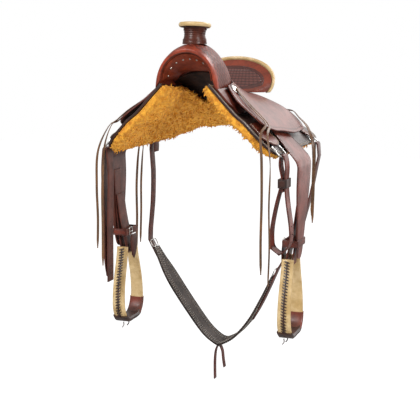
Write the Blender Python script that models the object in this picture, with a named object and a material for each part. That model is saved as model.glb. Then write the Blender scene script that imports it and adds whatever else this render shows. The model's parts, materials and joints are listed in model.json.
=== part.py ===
"""Wade saddle: tree, leathers, woolskins, rigging, fenders, stirrups and flank cinch.

Metres, +Z up. +X is the saddle's near (left) side and -Y its front. The origin is the
place where the saddle sits on a horse's back, on the centre plane between the bars.
"""
from math import cos, pi, radians, sin, sqrt, tau

import bmesh
import bpy
from mathutils import Matrix, Vector

# Fits: touching faces, and layers of shaped leather
FIT = 0.0003
LAYER = 0.0012
FORK_BED = 0.0008

# Slope that the bars, skirts and jockeys lie on
RIDGE_X = 0.082
RIDGE_Z = 0.038
SLOPE = radians(47)
WAIST_DIP = 0.070
WAIST_REACH = 0.150
WAIST_START = -0.130
WAIST_END = 0.090
REAR_START = 0.130
REAR_PITCH = 0.50
REAR_BEND = 0.030
REAR_FADE = 0.300
DOWN = Vector((cos(SLOPE), 0, -sin(SLOPE)))
OUT = Vector((sin(SLOPE), 0, cos(SLOPE)))

# Skirts and woolskins
SKIRT_FRONT = -0.262
SKIRT_LENGTH = 0.622
SKIRT_REAR = SKIRT_FRONT + SKIRT_LENGTH
SKIRT_DROP = 0.300
SKIRT_CORNER = 0.085
SKIRT_CORNER_REAR = 0.115
SKIRT_THICK = 0.007
SKIRT_SINK = 0.022
SKIRT_FRONT_SINK = 0.0066
SKIRT_FRONT_RUN = 0.095
STEP_START = 0.118
STEP_END = 0.168
SKIRT_INNER = -0.002
SKIRT_INNER_REAR = 0.036
WOOL_THICK = 0.027
WOOL_INSET = 0.006

# Tree
BAR_TOP = 0.0065
BAR_FRONT = SKIRT_FRONT + 0.017
BAR_REAR = SKIRT_REAR - 0.038
BAR_INNER = -0.004
BAR_INNER_REAR = 0.047
BAR_REACH = 0.118
FORK_FRONT = SKIRT_FRONT + 0.022
FORK_REAR = -0.112
FORK_TOP = 0.166
FORK_FOOT = 0.024
GULLET_HALF = 0.0785
GULLET_TOP_FRONT = 0.124
GULLET_TOP_REAR = 0.078
COVER_THICK = 0.003
LINER_THICK = 0.0028
LINER_BED = 0.0023
RIM_WIDE = 0.017
RIM_DEEP = 0.010
ARCH_COUNT = 14

# Horn
HORN_Y = -0.170
HORN_CORE = 0.022
HORN_NECK = 0.0315
HORN_CAP = 0.0445
HORN_TILT = radians(6)
HORN_HEIGHT = 0.057
CAP_THICK = 0.010
BINDING_THICK = 0.014
BINDING_WIDTH = 0.007

# Seat, jockeys and cantle
SEAT_THICK = 0.005
SEAT_OVER_BAR = 0.0162
SEAT_LIFT = 0.0140
GROUND_THICK = 0.0035
GROUND_SHORT = 0.010
GROUND_BED = 0.0030
SEAT_FRONT = -0.1085
FLAP_FRONT = -0.212
REAR_JOCKEY_THICK = 0.0045
REAR_JOCKEY_START = 0.205
REAR_JOCKEY_END = SKIRT_REAR - 0.022
CANTLE_HALF = 0.150
CANTLE_TOP = 0.104
CANTLE_FALL = 0.085
CANTLE_Y = 0.256
CANTLE_SWEEP = 0.105
CANTLE_ARC = radians(108)
CANTLE_FACE_THICK = 0.004
CANTLE_BOARD_THICK = 0.010
CANTLE_BACK_THICK = 0.003

# Rigging
RIG_THICK = 0.0045
DEE_WIRE = 0.0034
DEE_CORNER = 0.012
DEE_LIFT = 0.0008
RIG_CLEAR = 0.0014
FRONT_DEE_Y = -0.190
FRONT_DEE_S = SKIRT_DROP - 0.014
FRONT_DEE_HALF_Y = 0.035
FRONT_DEE_HALF_S = 0.024
REAR_DEE_Y = 0.212
REAR_DEE_S = SKIRT_DROP - 0.003
REAR_DEE_HALF_Y = 0.032
REAR_DEE_HALF_S = 0.017

# Fenders and stirrups
FENDER_Y = -0.060
FENDER_PIVOT_S = 0.062
FENDER_THICK = 0.004
FENDER_HALF = 0.080
FENDER_LOW = 0.0080
FENDER_HIGH = 0.0138
FENDER_BEND_S = 0.335
FENDER_BEND = 0.040
FENDER_HANG = radians(92.5)
LEATHER_HALF = 0.029
LEATHER_THICK = 0.0035
STIRRUP_X = 0.293
STIRRUP_TOP = -0.528
STIRRUP_HEIGHT = 0.262
STIRRUP_HALF = 0.080
STIRRUP_WIDTH = 0.044
STIRRUP_THICK = 0.011
STIRRUP_NECK = 0.0385
HOBBLE_R = 0.555
HOBBLE_HALF = 0.011
HOBBLE_THICK = 0.0028
HOBBLE_WIRE = 0.0018
BOLT_Z = -0.545
BOLT_RADIUS = 0.0085
TREAD_THICK = 0.0022

# Straps
STRAP_THICK = 0.004
LATIGO_HALF = 0.021
BILLET_HALF = 0.021
FLANK_BILLET_HALF = 0.019
FLANK_BUCKLE_HALF = 0.014
FLANK_BUCKLE_WIRE = 0.0024
FLANK_SLACK = 0.0014
FLANK_DROP = 0.745
CINCH_HALF = 0.052
CINCH_THICK = 0.006
CONNECTOR_HALF = 0.010
THONG_HALF = 0.0042
THONG_THICK = 0.0026
THONG_DRAPE = 0.0066
CONCHO_RADIUS = 0.019
CONCHO_THICK = 0.004

SIDES = (("near", 1), ("off", -1))

# Flank gear seen from the front: shares of the dee bar's x and of the drop below it
CINCH_SHAPE = ((-0.985, 0.545), (-0.910, 0.602), (-0.735, 0.718), (-0.490, 0.858), (-0.275, 0.966),
               (-0.130, 0.999), (0.020, 0.972), (0.245, 0.865), (0.385, 0.758), (0.505, 0.644))
NEAR_BILLET_SHAPE = ((1.0, 0.120), (0.940, 0.245), (0.815, 0.430), (0.645, 0.552))
OFF_BILLET_SHAPE = ((1.015, 0.160), (1.025, 0.320), (1.058, 0.455))


# Shared helpers

def clear_scene():
    """Remove whatever the file opens with."""
    for thing in list(bpy.data.objects):
        bpy.data.objects.remove(thing, do_unlink=True)


def material(name, color, roughness=0.45, metallic=0.0):
    """A Principled material of one colour, made once."""
    mat = bpy.data.materials.get(name)
    if mat:
        return mat
    mat = bpy.data.materials.new(name)
    mat.use_nodes = True
    mat.diffuse_color = (*color, 1)
    shader = mat.node_tree.nodes["Principled BSDF"]
    shader.inputs["Base Color"].default_value = (*color, 1)
    shader.inputs["Roughness"].default_value = roughness
    shader.inputs["Metallic"].default_value = metallic
    return mat


def chestnut():
    return material("chestnut_leather", (0.16, 0.035, 0.02), 0.35)


def dark_leather():
    return material("dark_leather", (0.05, 0.015, 0.01), 0.4)


def rawhide():
    return material("rawhide", (0.72, 0.56, 0.30), 0.4)


def wool():
    return material("golden_wool", (0.72, 0.38, 0.05), 0.95)


def wood():
    return material("tree_wood", (0.45, 0.30, 0.16), 0.6)


def nickel():
    return material("nickel", (0.75, 0.74, 0.72), 0.25, 1.0)


def latigo_string():
    return material("string_leather", (0.16, 0.07, 0.015), 0.5)


def smooth(value):
    """Smooth step from 0 to 1."""
    value = min(max(value, 0.0), 1.0)
    return value * value * (3 - 2 * value)


def mix(a, b, share):
    return a + (b - a) * share


def spread(start, stop, count):
    """Evenly spaced values, both ends included."""
    return [mix(start, stop, i / (count - 1)) for i in range(count)]


def along(keys, where):
    """Read a smooth curve through (position, value) keys."""
    if where <= keys[0][0]:
        return keys[0][1]
    for (a, va), (b, vb) in zip(keys, keys[1:]):
        if where <= b:
            return mix(va, vb, smooth((where - a) / (b - a)))
    return keys[-1][1]


def eased(points, spacing):
    """A smooth curve through the points, cut finer where they stand wider than spacing."""
    points = [Vector(p) for p in points]
    heading = []
    for i in range(len(points)):
        before = points[max(i - 1, 0)]
        after = points[min(i + 1, len(points) - 1)]
        heading.append((after - before).normalized())
    curve = []
    for i in range(len(points) - 1):
        a, b = points[i], points[i + 1]
        length = (b - a).length
        steps = max(1, round(length / spacing))
        for k in range(steps):
            t = k / steps
            curve.append(a * (2 * t ** 3 - 3 * t * t + 1) + b * (3 * t * t - 2 * t ** 3)
                         + heading[i] * length * (t ** 3 - 2 * t * t + t)
                         + heading[i + 1] * length * (t ** 3 - t * t))
    curve.append(points[-1])
    return curve


def make(name, verts, faces, mat, sharp=radians(38)):
    """A closed mesh object with its faces pointing out."""
    mesh = bpy.data.meshes.new(name)
    mesh.from_pydata([tuple(v) for v in verts], [], faces)
    bm = bmesh.new()
    bm.from_mesh(mesh)
    bmesh.ops.recalc_face_normals(bm, faces=bm.faces)
    bm.to_mesh(mesh)
    bm.free()
    mesh.shade_smooth()
    mesh.set_sharp_from_angle(angle=sharp)
    mesh.materials.append(mat)
    thing = bpy.data.objects.new(name, mesh)
    bpy.context.collection.objects.link(thing)
    return thing


def loft(name, rings, mat, closed=False):
    """Skin a row of point rings; a closed row has no caps."""
    size = len(rings[0])
    verts = [p for ring in rings for p in ring]
    faces = []
    count = len(rings)
    for j in range(count if closed else count - 1):
        here = j * size
        there = ((j + 1) % count) * size
        for i in range(size):
            k = (i + 1) % size
            faces.append((here + i, here + k, there + k, there + i))
    if not closed:
        faces.append(tuple(range(size)))
        faces.append(tuple((count - 1) * size + i for i in range(size)))
    return make(name, verts, faces, mat)


def slab(name, lower, upper, mat):
    """Close two equal grids of points, one above the other, into a sheet."""
    rows = len(lower)
    cols = len(lower[0])
    verts = [p for row in lower for p in row] + [p for row in upper for p in row]
    top = rows * cols
    faces = []
    for j in range(rows - 1):
        for i in range(cols - 1):
            a = j * cols + i
            faces.append((a, a + cols, a + cols + 1, a + 1))
            faces.append((top + a, top + a + 1, top + a + cols + 1, top + a + cols))
    border = [j * cols for j in range(rows)]
    border += [(rows - 1) * cols + i for i in range(1, cols)]
    border += [j * cols + cols - 1 for j in range(rows - 2, -1, -1)]
    border += [i for i in range(cols - 2, 0, -1)]
    for a, b in zip(border, border[1:] + border[:1]):
        faces.append((a, b, top + b, top + a))
    return make(name, verts, faces, mat)


def ribbon(name, route, across, half, thick, mat, spacing=0.045):
    """A flat strap along a route; across is the direction of its width."""
    points = eased(route, spacing)
    across = Vector(across).normalized()
    reach = [0.0]
    for a, b in zip(points, points[1:]):
        reach.append(reach[-1] + (b - a).length)
    rings = []
    for j, p in enumerate(points):
        ahead = (points[min(j + 1, len(points) - 1)] - points[max(j - 1, 0)]).normalized()
        wide = (across - ahead * across.dot(ahead)).normalized()
        face = ahead.cross(wide) * thick / 2
        wide = wide * (half(reach[j], reach[-1]) if callable(half) else half)
        rings.append([p + wide + face, p - wide + face, p - wide - face, p + wide - face])
    return loft(name, rings, mat)


def tapered(half, tip, length):
    """Strap half width that draws in to a point over a length at its far end."""
    def reading(here, total):
        return mix(tip, half, min((total - here) / length, 1.0))
    return reading


def turned(name, profile, centre, axis, mat, segments=24):
    """Revolve a closed (radius, height) outline round an axis."""
    axis = Vector(axis).normalized()
    side = axis.orthogonal().normalized()
    other = axis.cross(side)
    centre = Vector(centre)
    on_axis = [k for k, (r, h) in enumerate(profile) if r < 1e-7]
    verts = []
    index = {}
    for k, (r, h) in enumerate(profile):
        if k in on_axis:
            index[k] = [len(verts)] * segments
            verts.append(centre + axis * h)
            continue
        index[k] = list(range(len(verts), len(verts) + segments))
        for i in range(segments):
            turn = tau * i / segments
            verts.append(centre + axis * h + (side * cos(turn) + other * sin(turn)) * r)
    faces = []
    pairs = list(zip(range(len(profile)), range(1, len(profile))))
    if not on_axis:
        pairs.append((len(profile) - 1, 0))
    for a, b in pairs:
        for i in range(segments):
            k = (i + 1) % segments
            face = [index[a][i], index[a][k], index[b][k], index[b][i]]
            face = list(dict.fromkeys(face))
            if len(face) > 2:
                faces.append(tuple(face))
    return make(name, verts, faces, mat)


def frame_ring(name, centre, u, v, half_u, half_v, corner, wire, mat, sides=6):
    """A four-sided wire frame with round corners, lying in the plane of u and v."""
    u = Vector(u).normalized()
    v = Vector(v).normalized()
    normal = u.cross(v)
    outline = []
    for a, b, start in ((1, 1, 0), (-1, 1, 90), (-1, -1, 180), (1, -1, 270)):
        for k in range(3):
            turn = radians(start + 45 * k)
            outline.append(Vector(centre) + u * (a * (half_u - corner) + corner * cos(turn))
                           + v * (b * (half_v - corner) + corner * sin(turn)))
    rings = []
    for j, p in enumerate(outline):
        ahead = (outline[(j + 1) % len(outline)] - outline[j - 1]).normalized()
        away = ahead.cross(normal)
        rings.append([p + away * wire * cos(tau * i / sides) + normal * wire * sin(tau * i / sides)
                      for i in range(sides)])
    return loft(name, rings, mat, closed=True)


# The saddle's slope

def waist(y):
    """How far the surface has settled into the waist, 0 at the fork and 1 behind it."""
    return smooth((y - WAIST_START) / (WAIST_END - WAIST_START))


def fall(y, s):
    """How far the surface has dropped where the bars flatten out behind the cantle."""
    past = y - REAR_START
    share = max(0.0, 1 - s / REAR_FADE)
    return share * REAR_PITCH / 2 * (past + sqrt(past * past + REAR_BEND * REAR_BEND))


def slope_point(side, y, s, lift):
    """A point s down the slope from its ridge, lifted off it by lift."""
    sink = WAIST_DIP * waist(y) * max(0.0, 1 - s / WAIST_REACH) ** 2
    place = DOWN * s + OUT * (lift - sink)
    return Vector((side * (RIDGE_X + place.x), y, RIDGE_Z + place.z - fall(y, s)))


def joint_s(y):
    """Where the slope gives way to the bridge over the centre."""
    return 0.045 * waist(y)


CROWN_KEYS = ((-0.11, 0.060), (-0.07, 0.035), (-0.03, 0.012), (0.01, -0.008), (0.05, -0.024),
              (0.10, -0.031), (0.40, -0.031))


def deck_point(side, y, q, lift):
    """A point on the deck: q from -1 to 0 spans the centre, q above 0 runs down the slope."""
    if q >= 0:
        return slope_point(side, y, joint_s(y) + q, lift)
    edge = slope_point(side, y, joint_s(y), lift)
    share = 1 + q
    crown = along(CROWN_KEYS, y) + lift - fall(y, 0.0)
    return Vector((edge.x * share, y, crown + (edge.z - crown) * share * share))


def skirt_sink(y, s):
    """The skirt steps down under the bars, less so where they thin out at the front."""
    deep = mix(SKIRT_FRONT_SINK, SKIRT_SINK, smooth((y - SKIRT_FRONT) / SKIRT_FRONT_RUN))
    return -deep * (1 - smooth((s - STEP_START) / (STEP_END - STEP_START)))


def rounded_drop(y, front, rear, drop, corner_front, corner_rear):
    """Lower edge of a sheet whose two lower corners are round."""
    ahead = y - front < rear - y
    near_end = y - front if ahead else rear - y
    corner = corner_front if ahead else corner_rear
    if near_end >= corner:
        return drop
    short = corner - max(near_end, 0.0)
    return drop - corner + sqrt(max(corner * corner - short * short, 0.0))


STATIONS = (-0.19, -0.165, -0.13, -0.095, -0.06, -0.025, 0.01, 0.045, 0.09, 0.125, 0.16, 0.20, 0.25)


def end_rows(front, rear, corner, corner_rear):
    """Rows of a long sheet: the shared stations, and closer ones round its corners."""
    bend = [1 - cos(radians(a)) for a in (0, 28, 52, 72)]
    inner = [y for y in STATIONS if front + corner < y < rear - corner_rear]
    return [front + corner * b for b in bend] + inner + [rear - corner_rear * b for b in reversed(bend)]


def skirt_rows():
    """Rows of the skirts, which the bars above them share."""
    return end_rows(SKIRT_FRONT, SKIRT_REAR, SKIRT_CORNER, SKIRT_CORNER_REAR)


def stepped_lines(start, stop):
    """Lines down a sheet that follows the step under the bars."""
    upper = spread(start, STEP_START, 4)
    step = spread(STEP_START, STEP_END, 4)
    return upper[:-1] + step[:-1] + spread(STEP_END, stop, 4)


def slope_sheet(name, side, rows, lines, low, high, mat):
    """A sheet on the slope; lines gives its s values, low and high its two faces."""
    lower = []
    upper = []
    for y in rows:
        line = lines(y)
        lower.append([slope_point(side, y, s, low(y, s)) for s in line])
        upper.append([slope_point(side, y, s, high(y, s)) for s in line])
    return slab(name, lower, upper, mat)


# Tree

def bar_top(y, s):
    """Upper face of a bar, rounded down to the skirt at its outer edge."""
    edge = BAR_REACH - 0.03
    return BAR_TOP - 0.016 * max(0.0, (s - edge) / 0.03) ** 2


def build_bars():
    def lines(y):
        end = min(y - BAR_FRONT, BAR_REAR - y)
        narrow = 0.03 * (1 - smooth(end / 0.05)) + 0.014 * waist(y) * (1 - waist(y - 0.16))
        start = mix(BAR_INNER, BAR_INNER_REAR, smooth((y + 0.15) / 0.10)) + 0.4 * narrow
        return spread(start, BAR_REACH - narrow, 4)

    rows = [BAR_FRONT] + [y for y in skirt_rows() if BAR_FRONT < y < BAR_REAR] + [BAR_REAR]
    for word, side in SIDES:
        slope_sheet(word + "_bar", side, rows, lines,
                    lambda y, s: skirt_sink(y, s) + SKIRT_THICK + LAYER, bar_top, wood())


def arch(y, half, foot, top, count):
    """Points of a half-ellipse arch from the near foot over to the off foot."""
    points = []
    for i in range(count + 1):
        turn = pi * i / count
        points.append(Vector((half * cos(turn), y, foot + (top - foot) * sin(turn))))
    return points


def over_bar(x, y):
    """Height of a foot that rests on the bars, x out from the centre."""
    s = 0.0
    for _ in range(6):
        s += (x - slope_point(1, y, s, BAR_TOP + FORK_BED).x) / DOWN.x
    return slope_point(1, y, s, BAR_TOP + FORK_BED).z


def fork_station(y):
    """Outer half width, foot height and crown of the covered fork at a station."""
    foot = slope_point(1, y, FORK_FOOT, BAR_TOP + FORK_BED)
    top = along(((-0.247, FORK_TOP - 0.016), (-0.225, FORK_TOP - 0.007), (-0.17, FORK_TOP),
                 (-0.135, FORK_TOP - 0.004), (FORK_REAR, FORK_TOP - 0.024)), y)
    return foot.x, foot.z, top


def gullet_station(y):
    """Half width and crown of the gullet under the fork at a station."""
    share = (y - FORK_FRONT) / (FORK_REAR - FORK_FRONT)
    flare = 0.010 * (1 - smooth((y - FORK_FRONT) / 0.022))
    top = mix(GULLET_TOP_FRONT, GULLET_TOP_REAR, smooth(share)) + flare
    half = GULLET_HALF - 0.008 * smooth(share) + flare * 0.6
    return half, over_bar(half, y), top


def arch_shell(name, rows, outer, inner, mat):
    """A body between two arches, carried along the saddle."""
    rings = []
    for y in rows:
        rings.append(arch(y, *outer(y), ARCH_COUNT) + list(reversed(arch(y, *inner(y), ARCH_COUNT))))
    return loft(name, rings, mat)


def grown(station, by, y):
    """The same arch, moved outwards by a thickness, its feet still on the bars."""
    half, foot, top = station
    return half + by, over_bar(half + by, y), top + by


def build_fork():
    rows = [FORK_FRONT, -0.226, -0.205, -0.180, -0.155, -0.132, FORK_REAR]
    fork = arch_shell("tree_fork", rows,
                      lambda y: grown(fork_station(y), -COVER_THICK - LAYER, y),
                      gullet_station, wood())
    arch_shell("gullet_liner", rows,
               lambda y: grown(gullet_station(y), -LINER_BED, y),
               lambda y: grown(gullet_station(y), -LINER_BED - LINER_THICK, y), chestnut())
    return fork, build_fork_cover(rows)


def build_fork_cover(rows):
    """The cover, with the rolled welt that closes the fork's front edge."""
    lip = FORK_FRONT - FIT
    sections = [(lip - RIM_DEEP, -0.35 * RIM_DEEP, 0.4 * RIM_DEEP - RIM_WIDE),
                (lip - 0.7 * RIM_DEEP, -0.08 * RIM_DEEP, 0.1 * RIM_DEEP - RIM_WIDE),
                (lip - 0.3 * RIM_DEEP, 0.0, -RIM_WIDE), (lip, 0.0, -RIM_WIDE)]
    sections += [(lip, 0.0, -COVER_THICK)] + [(y, 0.0, -COVER_THICK) for y in rows[1:]]
    rings = []
    for y, out, inward in sections:
        outer = arch(y, *grown(fork_station(y), out, y), ARCH_COUNT)
        inner = arch(y, *grown(fork_station(y), inward, y), ARCH_COUNT)
        rings.append(outer + list(reversed(inner)))
    return loft("fork_cover", rings, chestnut())


def horn_frame(height):
    """Centre and axis of the horn at a height above the fork."""
    lean = HORN_TILT * smooth(height / (0.7 * HORN_HEIGHT))
    axis = Vector((0, sin(lean), cos(lean)))
    base = Vector((0, HORN_Y, FORK_TOP))
    return base + Vector((0, 0.5 * height * sin(lean), height)), axis


def horn_ring(height, radius, count=20):
    centre, axis = horn_frame(height)
    back = axis.cross(Vector((1, 0, 0)))
    return [centre + Vector((1, 0, 0)) * radius * cos(tau * i / count) + back * radius * sin(tau * i / count)
            for i in range(count)]


def cut_round(thing, centre, radius, depth):
    """Bore an upright round hole through a piece."""
    bpy.ops.mesh.primitive_cylinder_add(vertices=32, radius=radius, depth=depth, location=centre)
    cutter = bpy.context.object
    cutter.name = thing.name + "_cutter"
    cutter.hide_render = True
    cutter.display_type = "WIRE"
    cut = thing.modifiers.new("horn_seat", "BOOLEAN")
    cut.operation = "DIFFERENCE"
    cut.solver = "EXACT"
    cut.object = cutter


def build_horn(fork, cover):
    """Horn core let into the fork, wrapped neck, cap and rawhide binding."""
    flange = HORN_NECK + 0.008
    sunk = -0.007
    cut_round(fork, (0, HORN_Y, FORK_TOP + 0.02 + sunk), flange + FIT, 0.04)
    cut_round(cover, (0, HORN_Y, FORK_TOP), flange + FIT, 0.04)
    low = sunk + FIT
    top = HORN_HEIGHT - CAP_THICK - FIT
    loft("horn_core", [horn_ring(low, HORN_CORE), horn_ring(0.5 * top, HORN_CORE - 0.002),
                       horn_ring(top, HORN_CORE)], material("horn_iron", (0.2, 0.2, 0.2), 0.5, 0.8))
    outer = ((low, flange), (0.003, flange - 0.001), (0.010, HORN_NECK + 0.0025), (0.022, HORN_NECK),
             (0.036, HORN_NECK + 0.002), (0.046, HORN_NECK + 0.007), (top, HORN_CAP - 0.010))
    rings = [horn_ring(h, r) for h, r in outer]
    rings += [horn_ring(h, HORN_CORE + LAYER) for h in (top, 0.5 * top, low)]
    loft("horn_wrap", rings, dark_leather(), closed=True)
    centre, axis = horn_frame(HORN_HEIGHT)
    turned("horn_cap", [(0, -CAP_THICK), (HORN_CAP, -CAP_THICK), (HORN_CAP, -0.001),
                        (HORN_CAP * 0.93, 0.0005), (0, 0.0005)], centre, axis, chestnut(), 26)
    mid = -CAP_THICK / 2
    tall = BINDING_THICK / 2
    inner = HORN_CAP + FIT
    turned("horn_binding", [(inner, mid - tall + 0.002), (inner + 0.5 * BINDING_WIDTH, mid - tall),
                            (inner + BINDING_WIDTH, mid - tall * 0.4),
                            (inner + BINDING_WIDTH, mid + tall * 0.4),
                            (inner + 0.5 * BINDING_WIDTH, mid + tall), (inner, mid + tall - 0.002)],
           centre, axis, rawhide(), 26)


# Seat, jockeys and cantle

def jockey_front(q):
    """Front end of the rear jockey along one line."""
    return REAR_JOCKEY_START - 0.045 * smooth((q + 0.4) / 0.45)


def seat_lift(s):
    """Underside of the seat leather: low on the bars, raised over the layers below."""
    return SEAT_OVER_BAR + SEAT_LIFT * smooth((s - 0.08) / 0.11)


def flap_edge(y):
    """Lower edge of the seat jockey."""
    return along(((-0.22, 0.205), (-0.13, 0.232), (0.03, 0.257), (0.13, 0.254), (0.18, 0.236)), y)


def cantle_foot_y(share):
    """Where the cantle's face meets the seat, for a share of the seat's half width."""
    turn = min(abs(share) / 0.98, 1.0)
    return 0.128 - 0.026 * (1 - sqrt(1 - turn * turn))


def seat_span(q):
    """Front and rear stations of the seat leather along one line down the side."""
    if q < 0:
        return SEAT_FRONT, cantle_foot_y(1 + q) - FIT
    front = along(((0.0, SEAT_FRONT), (0.015, SEAT_FRONT), (0.025, -0.182), (0.085, FLAP_FRONT),
                   (0.185, FLAP_FRONT - 0.010), (0.212, -0.190), (0.235, -0.120)), q)
    rear = along(((0.0, 0.1015), (0.05, 0.118), (0.10, 0.150), (0.15, 0.176), (0.185, 0.170),
                  (0.212, 0.130)), q)
    return front, rear


CENTRE_LINES = [-0.999, -0.81, -0.62, -0.45, -0.28, -0.14, 0.0]


def seat_grid(lift, rows=12):
    """Grid of the seat leather's underside plus lift, near edge over to off edge."""
    outward = CENTRE_LINES + [0.014, 0.026, 0.060, 0.095, 0.130, 0.165, 0.190, 0.205]
    lines = [(-1, q) for q in reversed(outward)] + [(1, q) for q in outward]
    grid = []
    for side, q in lines:
        front, rear = seat_span(q)
        row = []
        for i in range(rows + 1):
            y = mix(front, rear, i / rows)
            if q < 0:
                row.append(deck_point(side, y, q, SEAT_OVER_BAR + lift))
                continue
            s = mix(joint_s(y), flap_edge(y), q / outward[-1])
            row.append(slope_point(side, y, s, seat_lift(s) + lift))
        grid.append(row)
    return grid


def ground_grid(lift, rows=12):
    """Grid of the ground seat, which spans the bars from the fork back under the cantle."""
    outward = CENTRE_LINES
    grid = []
    for side, q in [(-1, q) for q in reversed(outward)] + [(1, q) for q in outward]:
        front, rear = seat_span(q)
        stations = spread(front, rear, rows) + spread(rear, jockey_front(q) - GROUND_SHORT, 3)[1:]
        grid.append([deck_point(side, y, q, lift) for y in stations])
    return grid


def build_seat():
    slab("seat", seat_grid(0.0), seat_grid(SEAT_THICK), chestnut())
    lift = SEAT_OVER_BAR - GROUND_BED
    slab("ground_seat", ground_grid(lift - GROUND_THICK), ground_grid(lift),
         material("ground_leather", (0.12, 0.07, 0.05), 0.7))


def cantle_edge(turn):
    """The cantle's rim: turn 0 is its top, the ears are near a right angle."""
    fall = (1 - cos(turn)) / (1 - cos(CANTLE_ARC))
    return Vector((CANTLE_HALF * sin(turn), CANTLE_Y - CANTLE_SWEEP * fall ** 1.15,
                   CANTLE_TOP - CANTLE_FALL * (1 - cos(turn))))


def cantle_foot(turn):
    """Where the cantle's face meets the top of the seat."""
    share = 0.98 * sin(turn)
    y = 0.128 - 0.026 * (1 - cos(turn))
    side = 1 if share >= 0 else -1
    return deck_point(side, y, abs(share) - 1, SEAT_OVER_BAR + SEAT_THICK + 1.5 * LAYER)


def cantle_point(turn, share, lift):
    """A point on the dished face: share runs from the seat up to the rim."""
    foot = cantle_foot(turn)
    edge = cantle_edge(turn)
    up = (edge - foot).normalized()
    step = radians(2)
    round_it = (cantle_edge(turn + step) - cantle_edge(turn - step)).normalized()
    normal = up.cross(round_it).normalized()
    if normal.z < 0:
        normal = -normal
    dish = 0.012 * 4 * share * (1 - share) * max(cos(turn), 0.0)
    return foot.lerp(edge, share) + normal * (lift - dish)


def cantle_sheet(name, shares, low, high, mat, short=0):
    """A sheet on the dished face; short leaves out that many stations at each ear."""
    lower = []
    upper = []
    for turn in spread(-CANTLE_ARC, CANTLE_ARC, 19)[short:19 - short]:
        lower.append([cantle_point(turn, share, low) for share in shares])
        upper.append([cantle_point(turn, share, high) for share in shares])
    return slab(name, lower, upper, mat)


def build_cantle():
    face = CANTLE_FACE_THICK
    shares = spread(0.0, 0.955, 6)
    cantle_sheet("cantle_face", shares, 0.0, face, chestnut())
    cantle_sheet("cantle_board", shares[2:], -FIT - CANTLE_BOARD_THICK, -FIT, wood(), 2)
    behind = -2 * FIT - CANTLE_BOARD_THICK
    cantle_sheet("cantle_back", shares[2:], behind - CANTLE_BACK_THICK, behind, chestnut(), 2)
    rings = []
    for turn in spread(-CANTLE_ARC, CANTLE_ARC, 25):
        roll = mix(0.0085, 0.0125, smooth(abs(turn) / radians(80)))
        centre = cantle_point(turn, 1.0, -0.004)
        inward = (cantle_foot(turn) - cantle_edge(turn)).normalized()
        normal = (cantle_point(turn, 0.97, 0.01) - cantle_point(turn, 0.97, 0.0)).normalized()
        reach = 0.0115
        centre = centre - inward * (roll - 0.006)
        rings.append([centre + inward * roll * 0.8 * cos(tau * i / 8) + normal * reach * sin(tau * i / 8)
                      for i in range(8)])
    loft("cantle_binding", rings, rawhide())


def rear_lift(s):
    """Underside of the rear jockey."""
    return BAR_TOP + 1.5 * LAYER + 0.0060 * smooth((s - 0.10) / 0.06)


def build_rear_jockeys():
    for word, side in SIDES:
        lines = [-0.998, -0.65, -0.3, 0.0, 0.035, 0.073, 0.11, 0.155, 0.195]
        lower = []
        upper = []
        for q in lines:
            front = jockey_front(q)
            rear = REAR_JOCKEY_END - 0.11 * smooth((q - 0.10) / 0.095) - 0.02 * smooth((q - 0.02) / 0.1)
            front += 0.045 * smooth((q - 0.16) / 0.035)
            low_row = []
            high_row = []
            for y in spread(front, rear, 8):
                s = joint_s(y) + max(q, 0.0)
                low_row.append(deck_point(side, y, q, rear_lift(s)))
                high_row.append(deck_point(side, y, q, rear_lift(s) + REAR_JOCKEY_THICK))
            lower.append(low_row)
            upper.append(high_row)
        slab(word + "_rear_jockey", lower, upper, chestnut())


# Skirts, woolskins and rigging

def build_skirts():
    rows = skirt_rows()

    def drop(y):
        return rounded_drop(y, SKIRT_FRONT, SKIRT_REAR, SKIRT_DROP, SKIRT_CORNER, SKIRT_CORNER_REAR)

    def inner(y):
        return mix(SKIRT_INNER, SKIRT_INNER_REAR, waist(y))

    def wool_low(y, s):
        start = inner(y) - 0.002
        stop = drop(y) - WOOL_INSET
        edge = min(s - start, stop - s, y - SKIRT_FRONT, SKIRT_REAR - y) / 0.02
        return skirt_sink(y, s) - LAYER - WOOL_THICK * (0.68 + 0.32 * sqrt(min(max(edge, 0.0), 1.0)))

    for word, side in SIDES:
        slope_sheet(word + "_skirt", side, rows, lambda y: stepped_lines(inner(y), drop(y)),
                    skirt_sink, lambda y, s: skirt_sink(y, s) + SKIRT_THICK, dark_leather())
        slope_sheet(word + "_woolskin", side, rows,
                    lambda y: stepped_lines(inner(y) - 0.002, drop(y) - WOOL_INSET), wool_low,
                    lambda y, s: skirt_sink(y, s) - LAYER, wool())


def dee_bar(side, y, s):
    """Centre of a dee's bar where it lies on the skirt."""
    return slope_point(side, y, s, SKIRT_THICK + FIT + DEE_WIRE)


def rig_lift(s, bar_s):
    """Underside of rigging leather: flat on the skirt, then moulded over the dee's upper bar."""
    return SKIRT_THICK + LAYER + (2 * DEE_WIRE + RIG_CLEAR) * smooth((s - bar_s + 0.034) / 0.026)


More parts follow.
